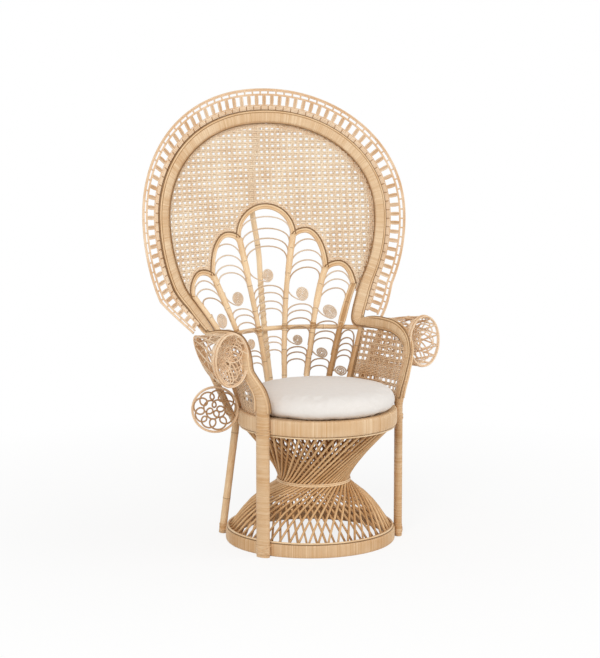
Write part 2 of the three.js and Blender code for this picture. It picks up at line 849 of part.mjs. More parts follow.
// Horn: canes of both twists run from an upright mouth to a narrow tail on the strut
function horn(side) {
  const lean = vec(side * (strutHead[0] - strutFoot[0]), 0, strutHead[2] - strutFoot[2]).normalize();
  const mouthAt = (angle) => vec(
    side * (hornMouth.x + hornMouth.halfX * Math.sin(angle)),
    hornMouth.y,
    hornMouth.z + hornMouth.halfZ * Math.cos(angle),
  );
  const squash = vec(side * lean.z, 0, -Math.abs(lean.x));
  const tailAt = (angle) => vec(side * hornTail.x, hornTail.y, hornTail.z)
    .addScaledVector(lean, hornTail.half * Math.cos(angle))
    .addScaledVector(squash, hornTail.squash * Math.sin(angle));
  const loop = (spot, count) => Array.from({ length: count }, (_, i) => spot((2 * Math.PI * i) / count));
  return (grow) => {
    const bodies = [];
    for (let i = 0; i < hornCanes; i += 1) {
      const angle = (2 * Math.PI * i) / hornCanes;
      for (const twist of [-hornTwist, hornTwist]) {
        bodies.push(tube([mouthAt(angle), tailAt(angle + twist)], hornCaneRadius, 4, grow, upward));
      }
    }
    bodies.push(tube(loop(mouthAt, hornMouthFacets), hornRimRadius, 5, grow, vec(0, 1, 0), true));
    bodies.push(tube(loop(tailAt, hornTailFacets), hornCaneRadius, 4, grow, vec(0, 1, 0), true));
    return fuse(bodies);
  };
}

// Rosette: a round cane with a heart and looped petals
function rosetteDisc(side) {
  const centre = vec(side * rosette.x, rosette.y, rosette.z);
  const facing = vec(side * Math.sin(radians(rosette.turn)), -Math.cos(radians(rosette.turn)), 0);
  const level = vec(side * facing.y, -side * facing.x, 0);
  const at = (radius, angle) => centre.clone()
    .addScaledVector(level, radius * Math.cos(angle))
    .addScaledVector(upward, radius * Math.sin(angle));
  const loop = (radius, count) => Array.from(
    { length: count },
    (_, i) => at(radius, (2 * Math.PI * i) / count),
  );
  return (grow) => {
    const bodies = [tube(loop(rosette.radius, rosette.facets), rosette.cane, 4, grow, facing, true)];
    bodies.push(tube(loop(rosette.heart, rosette.heartFacets), rosette.cane, 4, grow, facing, true));
    for (let i = 0; i < rosette.petals; i += 1) {
      const angle = (2 * Math.PI * (i + 0.5)) / rosette.petals;
      bodies.push(tube([at(rosette.heart, angle), at(rosette.radius, angle)], rosette.cane, 4, grow, facing));
    }
    return fuse(bodies);
  };
}

for (const [word, side] of [['left', -1], ['right', 1]]) {
  const foot = vec(side * strutFoot[0], strutFoot[1], strutFoot[2]);
  const head = vec(side * strutHead[0], strutHead[1], strutHead[2]);
  place(`arm_strut_${word}`, wrap, (grow) => tube([foot, head], strutRadius, 8, grow));
  place(`side_panel_${word}`, cane, sidePanel(side));
  place(`arm_horn_${word}`, cane, horn(side));
  place(`rosette_${word}`, cane, rosetteDisc(side));
}

// Sits the chair with the middle of its footprint box on the origin
const size = new THREE.Box3().setFromObject(chair);
const shift = size.getCenter(vec(0, 0, 0));
for (const piece of chair.children) {
  piece.geometry.translate(-shift.x, -shift.y, -size.min.z);
}

export default chair;
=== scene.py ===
# Rattan peacock armchair: wrapped frame, woven back, twisted pedestal and a loose round cushion
import math

import bpy
import numpy as np
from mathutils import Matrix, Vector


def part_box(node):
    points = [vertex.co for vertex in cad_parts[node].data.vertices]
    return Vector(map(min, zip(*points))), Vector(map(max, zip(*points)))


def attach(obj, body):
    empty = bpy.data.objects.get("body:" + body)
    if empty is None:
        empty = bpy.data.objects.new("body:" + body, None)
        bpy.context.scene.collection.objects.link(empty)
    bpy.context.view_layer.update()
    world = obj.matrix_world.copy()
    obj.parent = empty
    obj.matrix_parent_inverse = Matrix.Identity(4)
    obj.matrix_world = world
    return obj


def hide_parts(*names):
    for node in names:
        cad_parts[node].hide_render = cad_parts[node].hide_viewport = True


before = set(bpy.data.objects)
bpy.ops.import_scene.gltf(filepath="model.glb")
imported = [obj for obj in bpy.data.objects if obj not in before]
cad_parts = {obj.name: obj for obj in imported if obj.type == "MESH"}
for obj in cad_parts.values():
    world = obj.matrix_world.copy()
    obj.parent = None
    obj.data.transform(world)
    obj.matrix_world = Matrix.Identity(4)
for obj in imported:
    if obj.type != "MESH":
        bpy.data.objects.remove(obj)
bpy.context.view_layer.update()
dice = np.random.default_rng(31)  # one seeded source for every small irregularity
millimetre = 0.001  # sizes below are in millimetres, the meshes in metres
hoopLow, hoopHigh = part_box("base_hoop")
axisY = (hoopLow.y + hoopHigh.y) / 2  # axis of the pedestal, from which the sizes below are measured
upward, backward = np.array([0.0, 0.0, 1.0]), np.array([0.0, 1.0, 0.0])
mirror = np.array([-1.0, 1.0, 1.0])
bothSides = (("left", -1, mirror), ("right", 1, np.ones(3)))  # name, sign and flip of each side
print("frame loaded, pedestal axis at", round(axisY, 4))


# sRGB hex to linear colour
def linear(text):
    part = np.array([int(text[i:i + 2], 16) for i in (1, 3, 5)]) / 255
    return (*np.where(part <= 0.04045, part / 12.92, ((part + 0.055) / 1.055) ** 2.4), 1.0)


# Adds a node with its settings; a socket value that is another socket becomes a link
def add(tree, kind, settings, sockets):
    made = tree.nodes.new(kind)
    for key, value in settings.items():
        setattr(made, key, value)
    for key, value in sockets.items():
        if isinstance(value, bpy.types.NodeSocket):
            tree.links.new(value, made.inputs[key])
        else:
            made.inputs[key].default_value = value
    return made


# Empty material and its node tree
def blank(name):
    made = bpy.data.materials.new(name)
    made.use_nodes = True
    made.node_tree.nodes.clear()
    return made, made.node_tree


# What every cut of rattan shares: how far streaks and clouds shift the shade, and a dull natural gloss
grown = {"noise": {"From Min": 0.3, "From Max": 0.7}, "streak": 0.22, "cloud": 0.2,
         "smooth": -0.08, "coarse": 0.1, "bump": 0.35, "ior": 1.48, "gloss": 0.35}


# Rattan in any cut: pale to deep by strand and by fibre; the groove attribute mixes in the dark colour, as
# painted shade in grooves, gaps and seams and as dark joints
# fibre counts streaks per metre along a strand and streaks round it, patch counts clouds per metre
def rattan(name, look):
    made, tree = blank(name)
    where = add(tree, "ShaderNodeTexCoord", {}, {})
    tint = add(tree, "ShaderNodeAttribute", {"attribute_name": "tint"}, {})
    groove = add(tree, "ShaderNodeAttribute", {"attribute_name": "groove"}, {})
    grain = add(tree, "ShaderNodeMapping", {}, {"Vector": where.outputs["UV"], "Scale": look["fibre"]})
    fibre = add(tree, "ShaderNodeTexNoise", {}, {
        "Vector": grain.outputs[0], "Scale": 1.0, "Detail": 3.0, "Roughness": 0.6})
    patch = add(tree, "ShaderNodeTexNoise", {}, {
        "Vector": where.outputs["Object"], "Scale": look["patch"], "Detail": 2.0})
    streak = add(tree, "ShaderNodeMapRange", {}, {
        "Value": fibre.outputs["Fac"], **grown["noise"], "To Min": -grown["streak"], "To Max": grown["streak"]})
    cloud = add(tree, "ShaderNodeMapRange", {}, {
        "Value": patch.outputs["Fac"], **grown["noise"], "To Min": -grown["cloud"], "To Max": grown["cloud"]})
    uneven = add(tree, "ShaderNodeMath", {"operation": "ADD"}, {
        0: streak.outputs[0], 1: cloud.outputs[0]})
    share = add(tree, "ShaderNodeMath", {"operation": "ADD", "use_clamp": True}, {
        0: uneven.outputs[0], 1: tint.outputs["Fac"]})
    body = add(tree, "ShaderNodeMix", {"data_type": "RGBA"}, {
        0: share.outputs[0], 6: linear(look["pale"]), 7: linear(look["deep"])})
    depth = add(tree, "ShaderNodeMath", {"operation": "MULTIPLY", "use_clamp": True}, {
        0: groove.outputs["Fac"], 1: look["shadeAndGrime"]})
    colour = add(tree, "ShaderNodeMix", {"data_type": "RGBA"}, {
        0: depth.outputs[0], 6: body.outputs[2], 7: linear(look["dark"])})
    rough = add(tree, "ShaderNodeMapRange", {}, {
        "Value": fibre.outputs["Fac"], **grown["noise"],
        "To Min": look["rough"] + grown["smooth"], "To Max": look["rough"] + grown["coarse"]})
    relief = add(tree, "ShaderNodeBump", {}, {
        "Height": fibre.outputs["Fac"], "Strength": grown["bump"], "Distance": look["relief"]})
    skin = add(tree, "ShaderNodeBsdfPrincipled", {}, {
        "Base Color": colour.outputs[2], "Roughness": rough.outputs[0], "Normal": relief.outputs[0],
        "IOR": grown["ior"], "Specular IOR Level": grown["gloss"]})
    add(tree, "ShaderNodeOutputMaterial", {}, {"Surface": skin.outputs[0]})
    return made


# Rattan peel wound round the frame: flat glossy skin side out, fibres across the band, 0.8 mm apart
peelWrap = rattan("rattan_peel_wrap", {
    "pale": "#f4d9b4", "deep": "#cd9e69", "dark": "#74491f", "shadeAndGrime": 0.5,
    "fibre": (1200.0, 4.0, 1.0), "patch": 9.0, "rough": 0.46, "relief": 0.0004})
# Whole rattan pole with its skin on: streaks 38 mm long, warm and a little glossy
poleSkin = rattan("rattan_pole_skin", {
    "pale": "#f4d9b2", "deep": "#c99a66", "dark": "#4f3011", "shadeAndGrime": 0.9,
    "fibre": (26.0, 16.0, 1.0), "patch": 11.0, "rough": 0.44, "relief": 0.0005})
# Pedestal poles: the same skin, darker and browner, as painted shade under the seat
shadedPole = rattan("rattan_pole_shaded", {
    "pale": "#e4be8e", "deep": "#b07d46", "dark": "#553618", "shadeAndGrime": 0.85,
    "fibre": (26.0, 16.0, 1.0), "patch": 9.0, "rough": 0.5, "relief": 0.0005})
# Split cane core, woven: no skin, paler and dull, streaks 17 mm long
coreCane = rattan("split_core_cane", {
    "pale": "#fae6ca", "deep": "#d2a678", "dark": "#704820", "shadeAndGrime": 0.7,
    "fibre": (60.0, 10.0, 1.0), "patch": 10.0, "rough": 0.6, "relief": 0.0004})
# Thin bent core of the scrollwork: the same cane, greyed and a little pink
bentCane = rattan("bent_core_cane", {
    "pale": "#f3e2cc", "deep": "#c6a480", "dark": "#6a4526", "shadeAndGrime": 0.7,
    "fibre": (60.0, 10.0, 1.0), "patch": 10.0, "rough": 0.6, "relief": 0.0004})


# Unbleached cotton: plain weave seen as a soft grid, slubs and a faint sheen of fuzz
def cottonCloth(look):
    made, tree = blank("unbleached_cotton")
    where = add(tree, "ShaderNodeTexCoord", {}, {})
    turn = 2 * math.pi / 20 / look["thread"]  # a wave repeats every 2 pi / 20 of its scale
    warp, weft = (add(tree, "ShaderNodeTexWave", {"bands_direction": way}, {
        "Vector": where.outputs["Object"], "Scale": turn, "Distortion": 0.6, "Detail": 1.0}) for way in "XY")
    cross = add(tree, "ShaderNodeMath", {"operation": "MULTIPLY"}, {
        0: warp.outputs["Fac"], 1: weft.outputs["Fac"]})
    slub = add(tree, "ShaderNodeTexNoise", {}, {
        "Vector": where.outputs["Object"], "Scale": look["slubs"], "Detail": 4.0, "Roughness": 0.65})
    level = add(tree, "ShaderNodeMath", {"operation": "MULTIPLY_ADD", "use_clamp": True}, {
        0: cross.outputs[0], 1: look["weave"], 2: slub.outputs["Fac"]})
    colour = add(tree, "ShaderNodeMix", {"data_type": "RGBA"}, {
        0: level.outputs[0], 6: linear(look["shade"]), 7: linear(look["cloth"])})
    relief = add(tree, "ShaderNodeBump", {}, {
        "Height": level.outputs[0], "Strength": look["bump"], "Distance": look["relief"]})
    skin = add(tree, "ShaderNodeBsdfPrincipled", {}, {
        "Base Color": colour.outputs[2], "Roughness": look["rough"], "Normal": relief.outputs[0],
        "Specular IOR Level": look["gloss"], "Sheen Weight": look["fuzz"], "Sheen Roughness": 0.5})
    add(tree, "ShaderNodeOutputMaterial", {}, {"Surface": skin.outputs[0]})
    return made


# Threads are drawn 3 mm apart, coarser than real ones, so that they show; slubs are 22 mm long
cotton = cottonCloth({
    "thread": 0.003, "slubs": 45.0, "weave": 0.35, "cloth": "#e8e3de", "shade": "#ded8d1",
    "rough": 0.9, "gloss": 0.2, "fuzz": 0.25, "bump": 0.4, "relief": 0.0006})
print("materials made")


# Vectors brought to length 1
def unit(v):
    return v / np.maximum(np.linalg.norm(v, axis=-1, keepdims=True), 1e-9)


# Smooth step from 0 at low to 1 at high
def ease(low, high, x):
    t = np.clip((x - low) / (high - low), 0, 1)
    return t * t * (3 - 2 * t)


# Angles once round, at even steps
def around(count):
    return 2 * np.pi * np.arange(count) / count


# Running length of a path: the sum of its steps up to each point
def runOf(path):
    return np.concatenate([[0], np.cumsum(np.linalg.norm(np.diff(path, axis=0), axis=1))])


# Rows of values along a path, read off at given running lengths
def readOff(at, run, rows):
    return np.stack([np.interp(at, run, rows[:, k]) for k in range(rows.shape[1])], 1)


# The same path with its points at even steps
def evenly(path, count):
    run = runOf(path)
    return readOff(np.linspace(0, run[-1], count), run, path)


# Straight line from a to b: a plus a growing share of the step to b
def joinLine(a, b, count):
    return np.asarray(a, float) + (np.asarray(b, float) - a) * np.linspace(0, 1, count)[:, None]


# Points of a level circle, by their angles
def onRing(radius, turn, centreY, z):
    return np.stack([radius * np.cos(turn), centreY + radius * np.sin(turn), np.full(len(turn), float(z))], -1)


# Whole level circle
def ringPath(radius, centreY, z, count=96):
    return onRing(radius, around(count), centreY, z)


# Catmull-Rom: between two points the curve leaves along half the step between their neighbours
def throughPoints(points, steps):
    points = np.asarray(points, float)
    p = np.vstack([2 * points[0] - points[1], points, 2 * points[-1] - points[-2]])
    t = np.linspace(0, 1, steps, endpoint=False)[:, None, None]
    a, b, c, d = p[:-3], p[1:-2], p[2:-1], p[3:]
    curve = 0.5 * (2 * b + (c - a) * t + (2 * a - 5 * b + 4 * c - d) * t ** 2
                   + (3 * b - a - 3 * c + d) * t ** 3)
    return np.vstack([curve.transpose(1, 0, 2).reshape(-1, 3), points[-1:]])


# Ellipse of half sizes a and b, as a profile
def oval(a, b, count):
    turn = around(count)
    return np.stack([np.asarray(a)[..., None] * np.cos(turn), np.asarray(b)[..., None] * np.sin(turn)], -1)


# Squared circle: cosine and sine raised to a power with their signs kept
def squared(turn, power):
    return [np.sign(wave) * np.abs(wave) ** power for wave in (np.cos(turn), np.sin(turn))]


# Profile carried along paths: point = path + profile x along the guide + profile y square to it and the path
def carry(paths, guide, profile, closed=False, tint=0.5, groove=0.0, keep=None):
    paths = np.asarray(paths, float)
    paths = paths[None] if paths.ndim == 2 else paths
    many, count = paths.shape[:2]
    step = np.roll(paths, -1, 1) - np.roll(paths, 1, 1) if closed else np.gradient(paths, axis=1)
    along = unit(step)
    guide = np.broadcast_to(guide, paths.shape)
    across = unit(guide - (guide * along).sum(-1, keepdims=True) * along)
    through = np.cross(along, across)
    profile = np.asarray(profile, float)
    profile = np.broadcast_to(profile, (many, count) + profile.shape[-2:])
    sides = profile.shape[2]
    points = paths[:, :, None] + profile[..., :1] * across[:, :, None] + profile[..., 1:] * through[:, :, None]
    index = np.arange(many * count * sides).reshape(many, count, sides)
    here = index if closed else index[:, :-1]
    ahead = np.roll(index, -1, 1) if closed else index[:, 1:]
    quads = np.stack([here, np.roll(here, -1, 2), np.roll(ahead, -1, 2), ahead], -1)
    # the strand's own map: metres along it one way, share of the way round it the other
    loop = np.concatenate([paths, paths[:, :1]], 1) if closed else paths
    run = np.cumsum(np.linalg.norm(np.diff(loop, axis=1), axis=2), 1) * millimetre
    before = np.concatenate([np.zeros((many, 1)), run[:, :-1]], 1)
    edge = np.arange(sides + 1) / sides
    uv = np.empty(quads.shape + (2,))
    uv[..., :2, 0] = before[:, :, None, None]
    uv[..., 2:, 0] = run[:, :, None, None]
    uv[..., 0, 1] = uv[..., 3, 1] = edge[:-1]
    uv[..., 1, 1] = uv[..., 2, 1] = edge[1:]
    caps = np.concatenate([index[:, 0, ::-1], index[:, -1]])
    if keep is not None:
        quads, uv = quads[keep], uv[keep]
    full = (many, count, sides)
    return {
        "points": points.reshape(-1, 3), "quads": quads.reshape(-1, 4), "uv": uv.reshape(-1, 4, 2),
        "caps": caps[:0] if closed or keep is not None else caps,
        "tint": np.broadcast_to(tint, full).ravel(), "groove": np.broadcast_to(groove, full).ravel()}


# One shade for each strand, by chance round a middle value
def shades(spread, many):
    return dice.normal(*spread, (many, 1, 1))


# Round cane carried along paths
def cane(paths, guide, radius, sides=6, closed=False, **look):
    return carry(paths, guide, oval(radius, radius, sides), closed, **look)


# New object at the origin
def intoScene(name, data):
    made = bpy.data.objects.new(name, data)
    bpy.context.scene.collection.objects.link(made)
    return made


# Puts surfaces into one mesh, in metres, hangs it on the chair and hides the frame's parts that it stands for
def makePiece(name, parts, material, *nodes):
    start = np.cumsum([0] + [len(p["points"]) for p in parts])
    points = np.concatenate([p["points"] for p in parts]) * millimetre + [0, axisY, 0]
    quads = np.concatenate([p["quads"] + k for p, k in zip(parts, start)])
    caps = [p["caps"] + k for p, k in zip(parts, start) if len(p["caps"])]
    corners = np.concatenate([quads.ravel()] + [c.ravel() for c in caps])
    sizes = np.concatenate([np.full(len(quads), 4)] + [np.full(len(c), c.shape[1]) for c in caps])
    uv = np.concatenate([p["uv"].reshape(-1, 2) for p in parts])
    uv = np.concatenate([uv, np.zeros((len(corners) - len(uv), 2))])
    used, corners = np.unique(corners, return_inverse=True)
    mesh = bpy.data.meshes.new(name)
    mesh.vertices.add(len(used))
    mesh.vertices.foreach_set("co", points[used].astype(np.float32).ravel())
    mesh.loops.add(len(corners))
    mesh.loops.foreach_set("vertex_index", corners.astype(np.int32).ravel())
    mesh.polygons.add(len(sizes))
    mesh.polygons.foreach_set("loop_start", np.concatenate([[0], np.cumsum(sizes)[:-1]]).astype(np.int32))
    mesh.update(calc_edges=True)
    mesh.polygons.foreach_set("use_smooth", np.arange(len(sizes)) < len(quads))
    mesh.uv_layers.new(name="strand").uv.foreach_set("vector", uv.astype(np.float32).ravel())
    for key in ("tint", "groove"):
        rows = np.concatenate([p[key] for p in parts])[used]
        mesh.attributes.new(key, "FLOAT", "POINT").data.foreach_set("value", rows.astype(np.float32))
    mesh.materials.append(material)
    made = intoScene(name, mesh)
    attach(made, "chair")
    if nodes:
        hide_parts(*nodes)
    print(name, len(quads) * 2, "triangles")


strandTop = (0.27, 0.73)  # share of one turn at which a wound strand's flat top starts and ends


# Peel wound round a band: oval section squared by its power, each strand a low ridge with a groove beside it,
# darkened as painted shade
def wound(path, guide, halfThick, halfWide, look, closed=False):
    loop = np.vstack([path, path[:1]]) if closed else path
    run = runOf(loop)
    turns = max(2, round(run[-1] / look["pitch"]))
    rise = np.tile([0.0, 1.0, 1.0], turns)
    at = ((np.arange(turns)[:, None] + [0.0, *strandTop]) * run[-1] / turns).ravel()
    shade = np.repeat(dice.normal(0, look["mottle"], turns), 3)
    if not closed:
        at, rise, shade = np.append(at, run[-1]), np.append(rise, 0.0), np.append(shade, shade[-1])
    along = [np.broadcast_to(v, len(path)) for v in (halfThick, halfWide, look["power"], look["tint"])]
    rows = np.column_stack([path, np.broadcast_to(guide, path.shape)] + along)
    rows = readOff(at, run, np.vstack([rows, rows[:1]]) if closed else rows)
    line, face, (thick, wide, power, tint) = rows[:, :3], rows[:, 3:6], rows[:, 6:].T
    lift = look["ridge"] * (rise - 1)
    turn = 2 * np.pi * (np.arange(look["sides"]) + 0.5) / look["sides"]
    x, y = squared(turn, 2 / power[:, None])
    profile = np.stack([(thick + lift)[:, None] * x, (wide + lift)[:, None] * y], -1)
    return carry(line, face, profile, closed,
                 tint=(shade + tint)[None, :, None], groove=(1 - rise)[None, :, None])


growth = {"joint": 230.0, "first": (0.3, 0.8), "last": 12.0, "step": 18.0,
          "collar": (-6.0, -2.0, 0.0, 2.0, 6.0), "notch": 0.2, "swelling": 0.7, "dark": 0.7,
          "wave": 0.12, "waveLong": 47, "shade": 0.08, "shadeLong": 90,
          "guide": (0.31, 0.87, 0.38)}  # no pole runs along the guide


# Whole pole: round, with a dark raised joint every hand or so; radius and shade also wave slowly along it
# The last argument darkens the whole pole: painted shade on the right stile and on the outer rib beside the
# right arm
def poleAlong(path, radius, sides=12, joint=growth["joint"], tint=0.4, dirtAndShade=0.0):
    run = runOf(path)
    joints = np.arange(dice.uniform(*growth["first"]) * joint, run[-1] - growth["last"], joint)
    collars = (joints[:, None] + growth["collar"]).ravel()
    rings = np.linspace(0, run[-1], max(3, round(run[-1] / growth["step"])))
    at = np.unique(np.concatenate([rings, collars]))
    at = at[(at >= 0) & (at <= run[-1])]
    near = np.abs(at[:, None] - joints).min(1) if len(joints) else np.full(len(at), np.inf)
    size = np.where(near < 1, growth["notch"], np.where(near < 3, growth["swelling"], 0.0))
    size = radius + (size + growth["wave"] * np.sin(at / growth["waveLong"]))
    shade = tint + growth["shade"] * np.sin(at / growth["shadeLong"])
    return cane(readOff(at, run, path), growth["guide"], size, sides, tint=shade[None, :, None],
                groove=np.where(near < 1, growth["dark"], dirtAndShade)[None, :, None])


# Back surface: leans and curls backwards with height, and hollows more near the seat
backShape = {"footZ": 512, "footY": 218.7, "lean": 0.17, "curl": 0.0000764,
             "sag": (0.00206, 0.000375), "sagTop": 854}


# y = foot + lean * rise - curl * rise squared - sag * x squared
def backY(x, z):
    rise = z - backShape["footZ"]
    low, high = backShape["sag"]
    sag = low + (high - low) * ease(backShape["footZ"], backShape["sagTop"], z)
    return backShape["footY"] + backShape["lean"] * rise - backShape["curl"] * rise * rise - sag * x * x


# Direction square to the back surface and behind it, from its slopes over 1 mm each way
def behindBack(x, z):
    slopeX = (backY(x + 1, z) - backY(x - 1, z)) / 2
    slopeZ = (backY(x, z + 1) - backY(x, z - 1)) / 2
    return unit(np.stack([-slopeX, np.ones_like(slopeX), -slopeZ], -1))


# Point on the back surface, or a distance behind it
def onBack(x, z, behind=0.0):
    x, z = np.broadcast_arrays(np.asarray(x, float), np.asarray(z, float))
    return np.stack([x, backY(x, z), z], -1) + behind * behindBack(x, z)


# Directions for a line on the back surface: behind it, and in the surface square to the line
def sidesOf(line):
    behind = behindBack(line[:, 0], line[:, 2])
    return behind, unit(np.cross(unit(np.gradient(line, axis=0)), behind))


# Arch of the back: a rounded top half on a longer lower half, laid on the back surface
archShape = {"centreZ": 1067, "half": 431, "rise": 335, "roundness": 2.1, "drop": 465, "end": 133.6,
             "fine": 1201, "points": 361}


# Superellipse above the centre, plain ellipse below it, by degrees from the top
def archPoint(degrees):
    angle = np.radians(degrees)
    upper = np.abs(degrees) <= 90
    power = np.where(upper, 2 / archShape["roundness"], 1.0)
    lift = np.where(upper, archShape["rise"] * np.abs(np.cos(angle)) ** power,
                    archShape["drop"] * np.cos(angle))
    x = np.sign(degrees) * archShape["half"] * np.abs(np.sin(angle)) ** power
    return onBack(x, archShape["centreZ"] + lift)


archAngles = np.linspace(-archShape["end"], archShape["end"], archShape["fine"])
archPath = evenly(archPoint(archAngles), archShape["points"])
archRun = runOf(archPath)
archBehind, archOut = sidesOf(archPath)


# Line that keeps a distance outside the arch
def outsideArch(distance, behind=0.0):
    return archPath + archOut * distance + archBehind * behind


# Continuous wrapped band: front leg, arm rail, arch, arm rail, front leg
# Each size is half thickness, half width, squareness of the section and shade of the peel
# Shares of the rail say where its face turns sideways and then behind, and where its size changes
band = {
    "pitch": 3.7, "ridge": 0.5, "sides": 20, "mottle": 0.1,
    "leg": (13.5, 24.0, 2.3, 0.66), "rail": (11.5, 17.0, 2.8, 0.42), "arch": (12.0, 17.6, 4.5, 0.42),
    "foot": (268, -132), "legTop": 453.0, "legPoints": 60, "railPoints": 120,
    "spine": ((274, -140, 505), (286, -142, 546), (304, -132, 583), (315, -121, 612), (316, -114, 650),
              (313, -97, 678), (308, -60, 698), (305, -8, 704), (305, 55, 702), (304, 106, 697),
              (303, 140, 693), (300, 163, 710)),
    "sideways": (0, 0.4), "behind": (0.5, 0.95), "fromLeg": (0, 0.3), "toArch": (0.7, 1),
    "blend": 12}  # points of the arch given up at each end for a smooth corner
blend = band["blend"]
legSize, railSize, archSize = (np.array(band[word]) for word in ("leg", "rail", "arch"))
legOut = unit(np.array([*band["foot"], 0.0]))
legTop = (*band["foot"], band["legTop"])
legLine = joinLine((*band["foot"], 0), legTop, band["legPoints"])
railLine = evenly(throughPoints([legTop, *band["spine"], archPath[-blend]], 12), band["railPoints"])
share = np.linspace(0, 1, len(railLine))[:, None]
railThin = legOut + (np.array([1.0, 0, 0]) - legOut) * ease(*band["sideways"], share)
railThin = unit(railThin + (archBehind[-blend] - railThin) * ease(*band["behind"], share))
railSizes = railSize + (archSize - railSize) * ease(*band["toArch"], share)
railSizes = railSizes + (legSize - railSize) * (1 - ease(*band["fromLeg"], share))
halfLine = np.vstack([legLine, railLine[1:]])
halfThin = np.vstack([np.tile(legOut, (len(legLine), 1)), railThin[1:]])
halfSize = np.vstack([np.tile(legSize, (len(legLine), 1)), railSizes[1:]])
bandLine = np.vstack([halfLine * mirror, archPath[blend:-blend], halfLine[::-1]])
bandThin = np.vstack([halfThin * mirror, archBehind[blend:-blend], halfThin[::-1]])
bandSize = np.vstack([halfSize, np.tile(archSize, (len(archPath) - 2 * blend, 1)), halfSize[::-1]])
bandThick, bandWide, bandPower, bandTint = bandSize.T
parts = [wound(bandLine, bandThin, bandThick, bandWide, dict(band, power=bandPower, tint=bandTint))]
makePiece("frame_wrap", parts, peelWrap,
          "front_leg_left", "front_leg_right", "arm_rail_left", "arm_rail_right", "back_arch")

# Canes laid along both edges of the band from post to post, with a dark thin cane in the groove at each side as
# a painted shadow line
# Each cane is its edge, place across the face, radius, distance out, tone and darkening; the dark thin canes
# are painted shadow
edging = {"from": 4, "points": 420, "guide": (0.2, 0.9, 0.4), "canes": (
    (1, -0.62, 3.0, 1.3, 0.5, 0.0), (1, 0.62, 3.0, 1.3, 0.5, 0.0), (-1, 0.62, 3.0, 1.3, 0.5, 0.0),
    (1, -0.78, 1.3, -2.1, 0.9, 0.5), (1, -0.5, 2.0, 5.0, 0.9, 0.75),
    (-1, -0.62, 2.6, 0.4, 0.7, 0.1), (-1, -1.0, 1.9, 2.4, 0.9, 0.75))}
edgeFrom = len(legLine) + edging["from"]
edgeWide = np.cross(unit(np.gradient(bandLine, axis=0)), bandThin)
parts = []
for edge, face, radius, out, shade, dirtAndShade in edging["canes"]:
    line = bandLine + edgeWide * (edge * (bandWide + out))[:, None] + bandThin * (face * bandThick)[:, None]
    line = evenly(line[edgeFrom:len(bandLine) - edgeFrom], edging["points"])
    parts.append(cane(line, edging["guide"], radius, 8, tint=shade, groove=dirtAndShade))
makePiece("frame_edge_canes", parts, poleSkin)

# Round hoops under the seat and on the floor, wound with upright peel
# Each hoop is its outer radius, thickness, y of the centre, bottom, top and shade
hoops = {"pitch": 3.6, "ridge": 0.5, "sides": 20, "power": 5.5, "mottle": 0.1, "points": 160,
         "base": (285, 32, 0, 0, 44, 0.62), "seat": (265, 30, -44, 401, 453, 0.42)}
for word in ("base", "seat"):
    radius, thick, centreY, lowZ, highZ, tint = hoops[word]
    middleZ = (lowZ + highZ) / 2
    line = ringPath(radius - thick / 2, centreY, middleZ, hoops["points"])
    outward = unit(line - [0, centreY, middleZ])
    parts = [wound(line, outward, thick / 2, (highZ - lowZ) / 2, dict(hoops, tint=tint), closed=True)]
    makePiece(word + "_hoop_wrap", parts, peelWrap, word + "_hoop")

# Round bead canes that trim the hoops, each with a dark thin cane in the groove beside it as a painted shadow
# line
# Each bead is its ring's radius, y of the centre, height, and how far above it the dark cane lies
beads = {"radius": 3.4, "points": 160, "dark": 1.2, "darkOut": 3.4,
         "base": (277, 0, 47.2, -2.6), "seat": (257, -44, 397.8, 3.4)}
for word in ("base", "seat"):
    radius, centreY, z, rise = beads[word]
    bead = ringPath(radius, centreY, z, beads["points"])
    dark = ringPath(radius + beads["darkOut"], centreY, z + rise, beads["points"])
    parts = [cane(bead, upward, beads["radius"], 8, True, tint=0.34),
             cane(dark, upward, beads["dark"], 6, True, tint=0.9, groove=0.8)]
    makePiece(word + "_bead_cane", parts, poleSkin, word + "_bead")

# Pedestal canes: rods bow up from the base hoop to the waist and run out to the seat hoop
# One family each way round: its way, then its radius at the foot, the waist and the top
skirts = {"rods": 52, "radius": 3.9, "uneven": 0.05, "slack": 0.007, "points": 15, "tint": (0.36, 0.15),
          "footZ": 40.0, "waistZ": 208.0, "topZ": 405.0, "waistY": -20.2, "seatY": -44,
          "twist": 46, "pinch": 0.012, "bow": 17.0, "outer": (1, 271, 115, 254), "inner": (-1, 257, 103, 240)}
for word in ("outer", "inner"):
    way, footR, waistR, topR = skirts[word]
    half = way * math.radians(skirts["twist"])
    slack = dice.normal(0, skirts["slack"], (3, skirts["rods"]))
    start = around(skirts["rods"])
    low = onRing(footR, start + slack[0], 0, skirts["footZ"])
    mid = onRing(waistR, start + half + slack[1], skirts["waistY"], skirts["waistZ"])
    high = onRing(topR, start + 2 * half + slack[2], skirts["seatY"], skirts["topZ"])
    t = np.linspace(-1, 1, skirts["points"])[None, :, None]
    pinch = math.sqrt(skirts["pinch"])
    bend = (np.sqrt(t * t + skirts["pinch"]) - pinch) / (math.sqrt(1 + skirts["pinch"]) - pinch)
    paths = mid[:, None] + (high - low)[:, None] * t / 2  # straight arms with a rounded bend at the waist
    paths = paths + ((high + low) / 2 - mid)[:, None] * bend
    bulge = skirts["bow"] * np.where(t < 0, np.sin(-np.pi * t), 0)  # below the waist the rods bow up and out
    paths = paths + bulge * (unit((paths - [0, skirts["waistY"] / 2, 0]) * [1, 1, 0]) + upward)
    size = skirts["radius"] * dice.normal(1, skirts["uneven"], skirts["rods"])
    parts = [cane(paths, upward, size[:, None], 8, tint=shades(skirts["tint"], skirts["rods"]))]
    makePiece("pedestal_rods_" + word, parts, shadedPole, "skirt_" + word)

